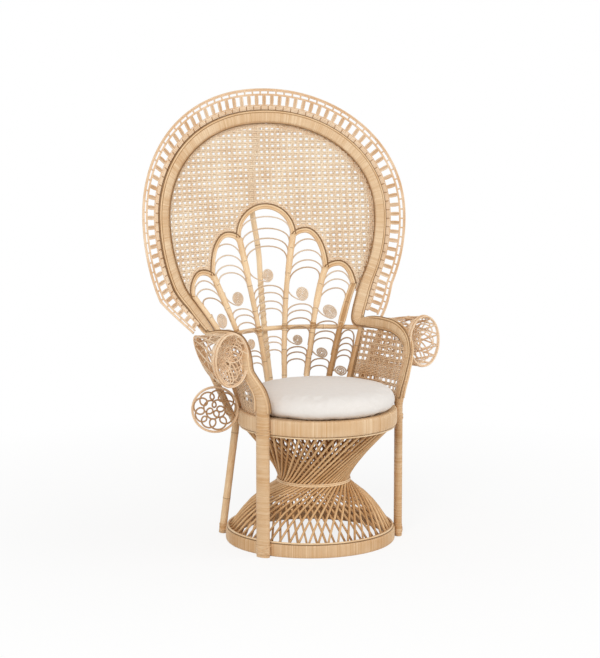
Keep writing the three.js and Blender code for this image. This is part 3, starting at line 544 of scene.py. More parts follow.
# Waist tie: a pair of thin canes round the narrowest part
waist = {"ring": 121.6, "apart": 2.7, "radius": 2.9}
parts = [cane(ringPath(waist["ring"], skirts["waistY"], skirts["waistZ"] + way * waist["apart"]), upward,
              waist["radius"], 8, True, tint=0.4 + 0.05 * way) for way in (-1, 1)]
makePiece("waist_tie", parts, poleSkin, "waist_hoop")

# Back legs, and stiles with a dark cane in the seam between pole and panel as a painted shadow line; the stiles
# are drawn darker, the right one darker still, as painted shade
backLeg = {"foot": (219, 212, 3), "head": (177.6, 169.6, 452), "radius": 12.5, "points": 24}
stile = {"foot": (208, 98, 453.5), "head": (286, 117, 678), "radius": 10.5, "points": 14, "tint": 0.8,
         "dirtAndShade": {"left": 0.0, "right": 0.1}, "seam": (-1.0, -14.4, 0.0), "seamRadius": 3.4}
for word, side, flip in bothSides:
    line = joinLine(backLeg["foot"], backLeg["head"], backLeg["points"]) * flip
    makePiece("back_leg_pole_" + word, [poleAlong(line, backLeg["radius"], 16)], poleSkin, "back_leg_" + word)
    line = joinLine(stile["foot"], stile["head"], stile["points"])
    parts = [poleAlong(line * flip, stile["radius"], 14, tint=stile["tint"], dirtAndShade=stile["dirtAndShade"][word]),
             cane((line + stile["seam"]) * flip, backward, stile["seamRadius"], 8, tint=0.95, groove=0.7)]
    makePiece("arm_stile_pole_" + word, parts, poleSkin, "arm_stile_" + word)

# Crossbar behind the ribs
crossbar = {"z": 683, "half": 296, "behind": 15.8, "radius": 8.0, "tint": 0.45}
line = onBack(np.linspace(-crossbar["half"], crossbar["half"], 60), crossbar["z"], crossbar["behind"])
makePiece("crossbar_pole", [poleAlong(line, crossbar["radius"], tint=crossbar["tint"])], poleSkin, "crossbar")

# Bowed pole behind the back, wound for part of its length with an open spiral of peel; the pole is drawn pale,
# as painted light against the shade it lies in behind the panel
backPole = {"foot": (0, 230.8, 405), "head": (0, 324, 1400), "points": 60, "bow": 44, "radius": 9.5,
            "tint": 0.0, "sway": 28, "swayFrom": 900, "swayLong": 500,
            "peel": (0.16, 0.44), "peelTurn": 0.028, "peelOut": 0.8, "peelHalf": (3.4, 1.0)}


# Near the top the pole sways aside: sine squared of the height
def poleSway(z):
    rise = np.maximum(0, (z - backPole["swayFrom"]) / backPole["swayLong"])
    return backPole["sway"] * np.sin(np.pi * rise) ** 2


line = joinLine(backPole["foot"], backPole["head"], backPole["points"])
line[:, 0] -= poleSway(line[:, 2])
line[:, 1] += backPole["bow"] * np.sin(np.pi * np.linspace(0, 1, backPole["points"]))
parts = [poleAlong(line, backPole["radius"], 14, tint=backPole["tint"])]
share = np.linspace(*backPole["peel"], 150)
turn = 2 * np.pi * (share - backPole["peel"][0]) / backPole["peelTurn"]
peel = readOff(share * runOf(line)[-1], runOf(line), line)
peel[:, 0] += (backPole["radius"] + backPole["peelOut"]) * np.cos(turn)
peel[:, 1] += (backPole["radius"] + backPole["peelOut"]) * np.sin(turn)
parts.append(carry(peel, upward, oval(*backPole["peelHalf"], 6), tint=0.25))
makePiece("back_pole_whole", parts, poleSkin, "back_pole")

# Ribs of the palmette: jointed poles, with thinner canes beside their tops and a dark binding at the crossbar
# Each rib is its foot, slope, curve and top
ribs = {"footZ": 453.4, "radius": 9.0, "joint": 88.0, "tint": 0.3, "paintedShade": 1.0, "paintedShadeGroove": 0.2,
        "beside": 170, "besideRadius": 4.2, "apart": 8.2, "parting": 60, "ahead": 3.0,
        "inner": (31, 0.0544, 0.0001616, 998), "middle": (100, 0.152, 0.000336, 878),
        "outer": (168, 0.1287, 0.000806, 816)}
binding = {"pitch": 5.5, "ridge": 1.1, "sides": 12, "power": 2.0, "tint": 0.85, "mottle": 0.3,
           "low": 672, "high": 694, "wall": 1.3}
nearBack = np.array([0.1, 1.0, 0.1])  # guide for canes on the back, roughly square to it


# x = foot + slope * rise + curve * rise squared for a rib, a straight line for the stile beyond them
def ribX(rank, z):
    if rank == "stile":
        (x0, _, z0), (x1, _, z1) = stile["foot"], stile["head"]
        return x0 + (x1 - x0) * (z - z0) / (z1 - z0)
    foot, slope, curve, top = ribs[rank]
    rise = np.minimum(z, top) - ribs["footZ"]
    return foot + slope * rise + curve * rise * rise


for word, side, flip in bothSides:
    for rank in ("inner", "middle", "outer"):
        top = ribs[rank][3]
        # Painted shade: the outer rib beside the right arm is drawn browner and darker, as if in the arm's
        # shadow
        paintedShade = side > 0 and rank == "outer"  # a browner cane beside the right arm
        z = np.linspace(ribs["footZ"], top, 40)
        parts = [poleAlong(onBack(side * ribX(rank, z), z), ribs["radius"], 12, ribs["joint"],
                           tint=ribs["paintedShade"] if paintedShade else ribs["tint"], dirtAndShade=ribs["paintedShadeGroove"] * paintedShade)]
        z = np.linspace(top - ribs["beside"], top, 20)
        for way in (-1, 1):
            shift = way * ribs["apart"] * ease(0, ribs["parting"], z - z[0])
            line = onBack(side * ribX(rank, z) + shift, z, -ribs["ahead"])
            parts.append(cane(line, nearBack, ribs["besideRadius"], 8, tint=0.45))
        z = np.linspace(binding["low"], binding["high"], 6)
        thick = ribs["radius"] + binding["wall"]
        parts.append(wound(onBack(side * ribX(rank, z), z), backward, thick, thick, binding))
        makePiece("rib_pole_" + rank + "_" + word, parts, poleSkin, "rib_" + rank + "_" + word)

# Scalloped rim: lobes drawn by a pair of canes, with a dark thin cane over them
# Each lobe is its start, top and end, and 1 where it has a twin on the left
rim = {"radius": 4.4, "spread": 4.2, "dark": 2.2, "darkOut": 9.9, "darkAhead": 3, "floor": 780.0,
       "lobes": (((-109, 1000), (0, 1098), (109, 1000), 0), ((109, 984), (156, 1010), (226, 880), 1),
                 ((226, 864), (274, 891), (322, 818), 1))}


# A lobe is two quarter ellipses that meet at its top
def lobeLine(start, top, end):
    a = np.linspace(0, np.pi / 2, 30)
    x = np.concatenate([top[0] - (top[0] - start[0]) * np.cos(a), top[0] + (end[0] - top[0]) * np.sin(a[1:])])
    z = np.concatenate([start[1] + (top[1] - start[1]) * np.sin(a), end[1] + (top[1] - end[1]) * np.cos(a[1:])])
    return x, z


lobeLines = []
for start, top, end, paired in rim["lobes"]:
    x, z = lobeLine(start, top, end)
    lobeLines += [onBack(x, z)] + ([onBack(-x, z)] if paired else [])
parts = []
for line in lobeLines:
    behind, outward = sidesOf(line)
    for way in (-1, 1):
        beside = line + outward * (way * rim["spread"])
        parts.append(cane(beside, behind, rim["radius"], 10, tint=0.4 - 0.1 * way))
    over = outward * np.sign(outward[:, 2].mean()) * rim["darkOut"] - behind * rim["darkAhead"]
    parts.append(cane(line + over, behind, rim["dark"], tint=0.9, groove=0.75))
makePiece("palmette_double_cane", parts, poleSkin, "palmette_rim")

# Petal scrollwork: thin arcs between two ribs, and scrolls that hang from the left rib and coil up
# Each arc is its top and rise, each scroll its centre's height and radius
petals = {
    "wire": 2.5, "reach": 7.5, "legs": (32.0, 22.4, 11.2), "foot": 4, "flank": 1.25, "roundness": 0.8,
    "heart": 1.5, "coilPitch": 2.1, "coilSteps": 22, "coilThick": 1.25,
    "hook": {"in": 1.2, "high": 1.1, "fall": 1.5, "under": 0.9},
    "tint": (0.6, 0.12), "dirtAndShade": 0.05, "paintedShade": 0.4, "shadeFullBelow": 650, "shadeGoneAbove": 790,
    "centre": {
        "arcs": ((1064, 50), (1024, 50), (990, 50), (963, 52), (829, 36), (805, 34), (776, 32), (751, 30),
                 (655, 20), (636, 19), (610, 18)),
        "scrolls": ((864, 21.85),)},
    "inner": {
        "arcs": ((980, 42), (942, 42), (908, 42), (883, 44), (759, 26), (738, 25), (712, 24), (684, 26),
                 (615, 20), (597, 20), (574, 20)),
        "scrolls": ((794, 23.0), (639, 16.675))},
    "middle": {
        "arcs": ((865, 40), (837, 40), (807, 42), (698, 22), (665, 20), (642, 20), (573, 18), (550, 18)),
        "scrolls": ((730, 23.0), (594, 16.675))},
    "outer": {
        "arcs": ((668, 22), (643, 21), (624, 20), (603, 19), (585, 18)),
        "scrolls": ((534, 16.1),)}}


# Arcs: x goes over by a cosine while z rises by a power of the sine, with a leg down the rib at each end
# Scrolls: a hook from the left rib to the lowest point of a flat spiral, whose radius shrinks evenly
# Painted shade: on the right the arcs and scrolls are drawn browner and darker towards the seat, as if in the
# arm's shadow
def petalParts(look, left, right, paintedShade=0.0):
    def paintedShadeAt(height):  # browner towards the seat
        return paintedShade * (1 - ease(petals["shadeFullBelow"], petals["shadeGoneAbove"], height))

    apex, rise = np.array(look["arcs"], float).T[:, :, None]
    turn = np.concatenate([np.full(3, np.pi), np.linspace(np.pi, 0, 21), np.zeros(3)])
    leg = np.concatenate([petals["legs"], np.zeros(21), petals["legs"][::-1]])
    z = apex - petals["flank"] * rise * (1 - np.sin(turn) ** petals["roundness"]) - leg
    z = np.maximum(z, ribs["footZ"] + petals["foot"])
    start, stop = left(z) + petals["reach"], right(z) - petals["reach"]
    x = start + (stop - start) * (1 + np.cos(turn)) / 2
    low = paintedShadeAt(apex)[..., None]
    parts = [cane(onBack(x, z), nearBack, petals["wire"],
                  tint=shades(petals["tint"], len(apex)) + low, groove=petals["dirtAndShade"] + low)]
    hook, heart = petals["hook"], petals["heart"]
    for centreZ, radius in look["scrolls"]:
        edge = left(float(centreZ))
        middle = (edge + right(float(centreZ))) / 2
        a = np.linspace(0, 1, 16)
        hookX = -(middle - edge - petals["reach"]) * np.cos(a * np.pi / 2) ** hook["in"]
        hookZ = radius * (hook["high"] * (1 - a) ** hook["fall"] - np.sin(a * np.pi / 2) ** hook["under"])
        coils = (radius - heart) / (petals["coilPitch"] * petals["wire"])
        t = np.linspace(0, 1, round(coils * petals["coilSteps"]))[1:]
        r = radius + (heart - radius) * t
        spin = -np.pi / 2 + 2 * np.pi * coils * t
        x = middle + np.concatenate([hookX, r * np.cos(spin)])
        z = centreZ + np.concatenate([hookZ, r * np.sin(spin)])
        profile = oval(petals["wire"] * petals["coilThick"], petals["wire"], 6)
        parts.append(carry(onBack(x, z), nearBack, profile, tint=0.45, groove=paintedShadeAt(centreZ)))
    return parts


parts = petalParts(petals["centre"], lambda z: -ribX("inner", z), lambda z: ribX("inner", z))
makePiece("petal_scrolls_centre", parts, bentCane, "petal_centre")
for rank, far in (("inner", "middle"), ("middle", "outer"), ("outer", "stile")):
    for word, side, flip in bothSides:
        edges = [lambda z, edge=edge, side=side: side * ribX(edge, z) for edge in (rank, far)]
        left, right = edges[::side]
        # Painted shade on the right side only
        parts = petalParts(petals[rank], left, right, petals["paintedShade"] * (side > 0))
        makePiece("petal_scrolls_" + rank + "_" + word, parts, bentCane, "petal_" + rank + "_" + word)

# Lace border: rungs of four strands that splay at the foot and swell in the middle, dark slits between the feet
# as painted shade in the gaps, short posts over the holes, and canes that run round
lace = {"bays": 70, "ends": 0.005, "from": 23.5, "foot": 17.5, "inner": 52.5, "sunk": 1,
        "strand": 2.5, "strands": (-1.5, -0.5, 0.5, 1.5), "apart": 2.4, "swell": 0.9, "splay": 4.2,
        "proud": 1.8, "flat": 0.8, "tint": (0.6, 0.12),
        "low": (0, 4, 8, 12, 15, 16.5, 18, 19.5), "high": (23, 50, 7), "turning": 2,
        "slit": {"ends": (1.0, 14.5), "radius": 1.9, "ahead": 2.4, "tint": 0.9, "dirtAndShade": 0.62},
        "post": {"ends": (51.0, 69.0), "radius": 2.9, "ahead": 0.0, "tint": 0.6, "dirtAndShade": 0.12},
        "rows": (3.2, 7.8, 12.4), "rowHalf": (1.6, 2.4), "rowAhead": 1.2,
        "canes": ((17.5, 1.6), (50.9, 1.9), (54.1, 1.9), (66.2, 2.6), (71.0, 2.6))}


# Foot, outward and behind directions at running lengths of the arch
def onArch(at):
    return [readOff(at, archRun, rows)[:, None] for rows in (archPath, archOut, archBehind)]


at = np.linspace(lace["ends"], 1 - lace["ends"], lace["bays"]) * archRun[-1]
foot, out, behind = onArch(at)
reach = np.concatenate([lace["low"], np.linspace(*lace["high"]), [lace["inner"]]])
splay = 1 - ease(lace["foot"] - lace["turning"], lace["foot"] + lace["turning"], reach)
swollen = np.sin(np.pi * np.clip((reach - lace["foot"]) / (lace["inner"] - lace["foot"]), 0, 1))
spread = lace["apart"] + lace["swell"] * swollen + lace["splay"] * splay
parts = []
# The two middle strands of each rung are drawn darker: painted shade
for place in lace["strands"]:
    middle = abs(place) < 1
    paths = (foot + out * (lace["from"] - lace["sunk"] + reach)[:, None]
             + np.cross(behind, out) * (place * spread)[:, None]
             + behind * (middle * lace["proud"] * (1 - splay))[:, None])
    parts.append(carry(paths, behind, oval(lace["strand"] * lace["flat"], lace["strand"], 6),
                       tint=shades(lace["tint"], lace["bays"]), groove=0.1 + 0.2 * middle))
foot, out, behind = onArch((at[1:] + at[:-1]) / 2)
for look in (lace["slit"], lace["post"]):
    line = lace["from"] + np.linspace(*look["ends"], 4)[:, None]
    profile = oval(look["radius"] * lace["flat"], look["radius"], 6)
    parts.append(carry(foot + out * line - behind * look["ahead"], behind, profile,
                       tint=look["tint"], groove=look["dirtAndShade"]))
for distance in lace["rows"]:
    parts.append(carry(outsideArch(lace["from"] + distance, -lace["rowAhead"]), archBehind,
                       oval(*lace["rowHalf"], 6), tint=0.42))
for distance, radius in lace["canes"]:
    parts.append(cane(outsideArch(lace["from"] + distance), archBehind, radius, 8, tint=0.6))
makePiece("lace_strands", parts, coreCane, "lace_border")

weaving = {"past": 6, "stub": 0.04}  # how far strands run past the last crossing, and their size outside


# Woven strands on a surface: strand lines at stated places one way and the other, each over and under the next;
# a strand is darkened where it dips under, as painted shade
def woven(acrossAt, upAt, spot, normal, inside, look):
    parts = []
    for lines, others, swap in ((acrossAt, upAt, False), (upAt, acrossAt, True)):
        past, step = weaving["past"], look["step"]
        length = np.arange(others[0] - past, others[-1] + past + step, step)
        u, v = np.meshgrid(lines, length, indexing="ij")
        rank = np.arange(len(lines))[:, None] + (0 if swap else 1)
        phase = np.interp(length, others, np.arange(len(others)))
        lift = np.cos(np.pi * (phase[None] + rank))
        a, b = (v, u) if swap else (u, v)
        ok = inside(a, b)
        paths = spot(a, b) + normal(a, b) * look["lift"] * lift[..., None]
        size = np.where(ok, 1.0, weaving["stub"])
        parts.append(carry(paths, normal(a, b), oval(look["thick"] * size, look["wide"] * size, look["sides"]),
                           keep=ok[:, :-1] | ok[:, 1:], tint=shades(look["tint"], len(lines)),
                           groove=(look["dirtAndShade"] * (1 - (lift + 1) / 2))[..., None]))
    return parts


# Height of the scalloped rim at a distance from the middle
def lobeHeight(x):
    far = np.abs(x)
    height = np.full(np.shape(far), rim["floor"])
    for start, top, end, _ in rim["lobes"]:
        width = np.where(far < top[0], top[0] - start[0], end[0] - top[0])
        base = np.where(far < top[0], start[1], end[1])
        curve = base + (top[1] - base) * np.sqrt(np.clip(1 - ((far - top[0]) / width) ** 2, 0, 1))
        height = np.where((far >= max(start[0], 0)) & (far <= end[0]), np.maximum(curve, height), height)
    return height


# True inside the arch drawn smaller by a margin: the sum of both powers stays under 1
def insideArch(x, z, margin):
    drop = z - archShape["centreZ"]
    power = np.where(drop > 0, archShape["roundness"], 2.0)
    wide = np.abs(x) / (archShape["half"] - margin)
    lift = np.where(drop > 0, drop / (archShape["rise"] - margin), -drop / (archShape["drop"] - margin))
    return wide ** power + np.abs(lift) ** power < 1


# Cane panel: pairs of flat strands each way leave small holes; close rows follow the arch and the scallops
panel = {"pitchX": 22.0, "pitchZ": 19.6, "pair": 3.1, "columns": 19, "lowest": 804, "rows": 31, "foot": 812,
         "archGap": 16, "lobeGap": 4, "step": 4.9, "lift": 0.9, "thick": 1.0, "wide": 3.2, "sides": 4,
         "tint": (0.2, 0.1), "dirtAndShade": 0.12}
border = {"rows": 3, "apart": 4.8, "half": (1.2, 2.5), "arch": 24.5, "archTrim": 8, "archOver": 2,
          "lobe": 10.5, "lobePoints": 100, "lobeGap": 20, "lobeOver": 5}


# Strands in pairs about the middle lines
def inPairs(middles):
    return np.sort(np.concatenate([middles - panel["pair"], middles + panel["pair"]]))


# One close row: a flat strand that waves over and under at every second point, kept where it lies inside
def closeRow(line, behind, row, inside, tint):
    path = line + behind * np.sin(np.arange(len(line)) * np.pi / 2 + row * np.pi)[:, None]
    ok = inside(path[:, 0], path[:, 2])
    return carry(path, behind, oval(*border["half"], 6)[None], tint=tint, keep=(ok[:-1] & ok[1:])[None])


parts = woven(inPairs((np.arange(-panel["columns"], panel["columns"] + 1) + 0.5) * panel["pitchX"]),
              inPairs(panel["lowest"] + np.arange(panel["rows"]) * panel["pitchZ"]), onBack, behindBack,
              lambda x, z: (insideArch(x, z, panel["archGap"]) & (z > lobeHeight(x) + panel["lobeGap"])
                            & (z > panel["foot"])), panel)
trimmed = slice(border["archTrim"], -border["archTrim"])
for row in range(border["rows"]):
    line = outsideArch(-border["arch"] - border["apart"] * row)[trimmed]
    parts.append(closeRow(line, archBehind[trimmed], row, lambda x, z: z > lobeHeight(x) + border["archOver"],
                          0.55 + 0.1 * (row % 2)))
for line in lobeLines:
    line = evenly(line, border["lobePoints"])
    behind, outward = sidesOf(line)
    outward = outward * np.sign(outward[:, 2].mean())
    for row in range(border["rows"]):
        path = line + outward * (border["lobe"] + border["apart"] * row)
        parts.append(closeRow(path, behind, row, lambda x, z: (
            insideArch(x, z, border["lobeGap"]) & (z > lobeHeight(x) + border["lobeOver"])), 0.5))
# A flat lath behind the panel, beside the pole
lath = {"low": 1108, "high": 1392, "beside": 16, "behind": 2.8, "half": (0.9, 10.5), "tint": 0.1}
z = np.linspace(lath["low"], lath["high"], 40)
x = -poleSway(z) - lath["beside"]
parts.append(carry(onBack(x, z, lath["behind"]), behindBack(x, z), oval(*lath["half"], 8), tint=lath["tint"]))
makePiece("back_cane_panel", parts, coreCane, "cane_panel")

# Side panels: close weave at the border and in a band, small holes between
# A bay is its width and the places of its strands
sideWeave = {"step": 4.6, "lift": 0.9, "thick": 1.0, "wide": 2.75, "sides": 4, "tint": (0.7, 0.1), "dirtAndShade": 0.22,
             "stileY": 98, "head": (290, 118), "seatR": 250, "seatY": -44, "legY": -132,
             "low": 453.6, "high": 706.0, "flare": 14, "long": 230.0, "tall": 255.0,
             "fromLong": -2, "toLong": 236, "toTall": 262,
             "close": (5.0, (2.5,)), "open": (18.5, (11.0, 16.0)),
             "across": (("close", 4), ("open", 9), ("close", 4)),
             "up": (("close", 8), ("open", 2), ("close", 7), ("open", 5), ("close", 5)),
             "postZ": (455, 640), "postGap": 4, "postPoints": 60, "railFrom": 40, "railGap": 24}
postX, postY, postZ = railLine[:sideWeave["postPoints"]].T  # the band's line up the post, then along the rail
overhead = railLine[sideWeave["railFrom"]:]
railY, railZ = overhead[np.argsort(overhead[:, 1])].T[1:]


# Places of strands as shares of the whole: bays laid end to end
def spaced(runs):
    made, at = [], 0.0
    for kind, count in runs:
        wide, strands = sideWeave[kind]
        for _ in range(count):
            made += [at + strand for strand in strands]
            at += wide
    return np.array(made) / at


# Ruled surface from the seat's round edge up to a line under the rail, its front edge bent out to the post
def sideSpot(u, v, side):
    forward, rise = u / sideWeave["long"], v / sideWeave["tall"]
    headX, headY = sideWeave["head"]
    footY = sideWeave["stileY"] + (sideWeave["legY"] - sideWeave["stileY"]) * forward
    footX = np.sqrt(np.maximum(sideWeave["seatR"] ** 2 - (footY - sideWeave["seatY"]) ** 2, 1))
    headY = headY + (sideWeave["legY"] - headY) * forward
    headX = headX + sideWeave["flare"] * forward
    x, y = footX + (headX - footX) * rise, footY + (headY - footY) * rise
    z = sideWeave["low"] + (sideWeave["high"] - sideWeave["low"]) * rise
    post = np.clip(z, *sideWeave["postZ"])
    pull = np.clip(forward, 0, 1.1) ** 3  # little at first, whole at the front edge
    x = x + pull * (np.interp(post, postZ, postX) - sideWeave["postGap"] - x)
    y = y + pull * (np.interp(post, postZ, postY) + sideWeave["postGap"] - y)
    return np.stack([side * x, y, z], -1)


# True where a point of the panel lies under the rail
def underRail(points):
    return points[..., 2] < np.interp(points[..., 1], railY, railZ) - sideWeave["railGap"]


for word, side, flip in bothSides:
    def spot(u, v, side=side):
        return sideSpot(u, v, side)

    # Direction out of the panel: cross product of the steps along it and up it
    def faceOut(u, v, spot=spot, side=side):
        return unit(np.cross(spot(u + 1, v) - spot(u - 1, v), spot(u, v + 1) - spot(u, v - 1))) * -side

    def inPanel(u, v, spot=spot):
        return ((u > sideWeave["fromLong"]) & (u < sideWeave["toLong"]) & (v > 0) & (v < sideWeave["toTall"])
                & underRail(spot(u, v)))

    parts = woven(spaced(sideWeave["across"]) * sideWeave["long"], spaced(sideWeave["up"]) * sideWeave["tall"],
                  spot, faceOut, inPanel, sideWeave)
    makePiece("side_weave_" + word, parts, coreCane, "side_panel_" + word)

# Seat: close plain weave inside the hoop
seatWeave = {"step": 12.0, "lift": 1.2, "thick": 1.3, "wide": 5.4, "sides": 6, "tint": (0.6, 0.1), "dirtAndShade": 0.35,
             "z": 449.6, "radius": 236, "centreY": -44, "lines": 21, "pitch": 11.0}
lines = np.arange(-seatWeave["lines"], seatWeave["lines"] + 1) * seatWeave["pitch"]
parts = woven(lines, lines,
              lambda u, v: np.stack([u, v + seatWeave["centreY"], np.full(np.shape(u), seatWeave["z"])], -1),
              lambda u, v: np.broadcast_to(upward, np.shape(u) + (3,)),
              lambda u, v: u * u + v * v < seatWeave["radius"] ** 2, seatWeave)
makePiece("seat_weave", parts, coreCane, "seat_disc")

# Arm horns: canes of both twists from an oval mouth to a narrow tail on the strut, rings, rims and a net inside
# Each row of the net is its count of loops, how far off centre they lie and their size, in shares of the mouth
horn = {"mouth": (378, -128, 654, 60, 85), "tail": (352, 92, 634, 80, 18), "heart": (368.0, 0, 643.0),
        "twist": 0.85, "canes": 14, "radius": 2.8, "belly": 7, "tint": (0.42, 0.14), "dirtAndShade": 0.05,
        "nested": 2.5, "against": -0.7, "short": 0.2,
        "rings": (0.45, 0.9), "ringIn": (3.0, 1.5), "ringRadius": 2.3, "ringTint": (0.5, 0.1),
        "left": ((22, 0.62, 0.35), (15, 0.36, 0.3), (8, 0.14, 0.25)),
        "right": ((16, 0.6, 0.37), (11, 0.3, 0.31)), "netRim": 8, "netDeep": 74, "netCane": 2.4, "netGap": 4,
        "netLoose": (0.25, 1.5), "netTint": (0.25, 0.2),
        "rim": 2.7, "rims": ((0.0, 0.0), (-1.5, 6.0), (2.0, 11.0)), "tailRim": 3.5}
# Struts: the lower part wound with peel, the upper part three bare canes; the wrap is drawn paler than the
# rails', as painted light against the horn's shadow
strut = {"foot": (231, 106, 404), "head": (374, 108, 690), "points": 40, "split": 20, "radius": 11.5,
         "pitch": 4.6, "ridge": 0.6, "sides": 14, "power": 2.4, "tint": 0.12, "mottle": 0.12,
         "cane": 4.6, "apart": 7.6}
strutLean = unit((np.array(strut["head"]) - strut["foot"]) * [1.0, 0, 1.0])
strutSide = np.array([strutLean[2], 0, -strutLean[0]])


# Upright oval at the horn's mouth
def hornMouth(angle, grow=0.0):
    x, y, z, halfX, halfZ = horn["mouth"]
    return np.stack([x + (halfX + grow) * np.sin(angle), np.full(np.shape(angle), float(y)),
                     z + (halfZ + grow) * np.cos(angle)], -1)


# Narrow oval along the strut at the horn's tail
def hornTail(angle):
    x, y, z, half, squash = horn["tail"]
    return (np.array([x, y, z]) + strutLean * half * np.cos(angle)[..., None]
            + strutSide * squash * np.sin(angle)[..., None])


# Direction away from the horn's middle line
def hornOut(points):
    return unit((points - np.array(horn["heart"])) * [1, 0, 1])


for word, side, flip in bothSides:
    parts = []
    turn = around(horn["canes"])
    for twist, nested in ((-horn["twist"], 0.0), (horn["twist"], horn["nested"])):
        inner = np.sin(turn + twist / 2) < horn["against"]  # against the arm the wall is short
        share = np.linspace(0, 1, 12)[None, :, None] * np.where(inner, horn["short"], 1.0)[:, None, None]
        a, b = hornMouth(turn, -nested)[:, None], hornTail(turn + twist)[:, None]
        paths = a + (b - a) * share
        paths = paths + hornOut(paths) * (horn["belly"] * np.sin(np.pi * share))
        parts.append(cane(paths * flip, upward, horn["radius"],
                          tint=shades(horn["tint"], horn["canes"]), groove=horn["dirtAndShade"]))
    turn = around(60)
    for share in horn["rings"]:
        mouthIn, bellyIn = horn["ringIn"]
        ring = hornMouth(turn, -mouthIn) * (1 - share) + hornTail(turn) * share
        ring = ring + hornOut(ring) * (horn["belly"] * math.sin(math.pi * share) - bellyIn)
        parts.append(cane(ring * flip, backward, horn["ringRadius"], 6, True,
                          tint=dice.normal(*horn["ringTint"]), groove=horn["dirtAndShade"]))
    turn = around(48)
    x, y, z, halfX, halfZ = horn["mouth"]
    sway, sink = horn["netLoose"]
    for many, off, size in horn[word]:  # loose loops make a deep net inside the mouth, closer on the left
        lean = 2 * np.pi * (np.arange(many) + dice.uniform(-sway, sway, many))[:, None] / many
        u, v = off * np.sin(lean) + size * np.cos(turn), off * np.cos(lean) + size * np.sin(turn)
        dome = np.sqrt(np.clip(1 - u * u - v * v, 0, 1))
        deep = horn["netRim"] + horn["netDeep"] * dome + dice.normal(0, sink, (many, 1))
        net = np.stack([x + (halfX - horn["netGap"]) * u, y + deep, z + (halfZ - horn["netGap"]) * v], -1)
        parts.append(cane(net * flip, backward, horn["netCane"], 6, True,
                          tint=shades(horn["netTint"], many), groove=0.02))
    turn = around(72)
    for grow, inward in horn["rims"]:
        line = hornMouth(turn, grow) + backward * inward
        parts.append(cane(line * flip, backward, horn["rim"], 8, True, tint=0.5))
    parts.append(cane(hornTail(turn) * flip, backward, horn["tailRim"], 8, True, tint=0.6))
    makePiece("arm_horn_basket_" + word, parts, coreCane, "arm_horn_" + word)

for word, side, flip in bothSides:
    line = joinLine(strut["foot"], strut["head"], strut["points"]) * flip
    parts = [wound(line[:strut["split"] + 1], backward, strut["radius"], strut["radius"], strut)]
    for way in (-1, 0, 1):
        beside = strutSide * flip * (way * strut["apart"])
        parts.append(cane(line[strut["split"] - 2:] + beside, backward, strut["cane"], 10, tint=0.35))
    makePiece("arm_strut_wrap_" + word, parts, peelWrap, "arm_strut_" + word)

# Rosettes: a ring with a thin cane inside it, filled by two canes that run round the centre in small loops
# A cane's point is a long arm that turns once plus a short arm that turns many times, both a little uneven
rosette = {"centre": (312, 96, 455), "radius": 76, "turn": 30, "cane": 2.8, "thinIn": 3.9, "thin": 1.5,
           "strand": 3.0, "loops": ((51, 16.5, 10), (21, 14.5, 5)),
           "longUneven": 0.04, "shortUneven": 0.16, "swing": 0.5, "weave": 2.6}
for word, side, flip in bothSides:
    angle = math.radians(rosette["turn"])
    facing = np.array([side * math.sin(angle), -math.cos(angle), 0.0])
    level = np.array([side * facing[1], -side * facing[0], 0.0])
    centre = np.array(rosette["centre"]) * flip

    # Point of the disc by its level and upright distances, or a little out of it
    def onDisc(x, y, out=0.0):
        out = np.broadcast_to(out, x.shape)[..., None]
        return centre + level * x[..., None] + upward * y[..., None] + facing * out

    turn = around(72)
    parts = []
    for inward, thick in ((0, rosette["cane"]), (rosette["thinIn"], rosette["thin"])):
        r = rosette["radius"] - inward
        parts.append(cane(onDisc(r * np.cos(turn), r * np.sin(turn)), facing, thick, 8, True, tint=0.6))
    turn = around(320)
    for longArm, shortArm, turns in rosette["loops"]:
        start = dice.uniform(0, 6.28, 3)
        longArm = longArm * (1 + rosette["longUneven"] * np.sin(2 * turn + start[0]))
        shortArm = shortArm * (1 + rosette["shortUneven"] * np.sin(3 * turn + start[1]))
        swing = turns * turn + start[2] + rosette["swing"] * np.sin(2 * turn + start[1])
        curl = onDisc(longArm * np.cos(turn) + shortArm * np.cos(swing),
                      longArm * np.sin(turn) + shortArm * np.sin(swing),
                      rosette["weave"] * np.sin(swing - turn))
        parts.append(cane(curl, facing, rosette["strand"], 6, True, tint=0.95, groove=0.6))
    makePiece("rosette_curls_" + word, parts, coreCane, "rosette_" + word)

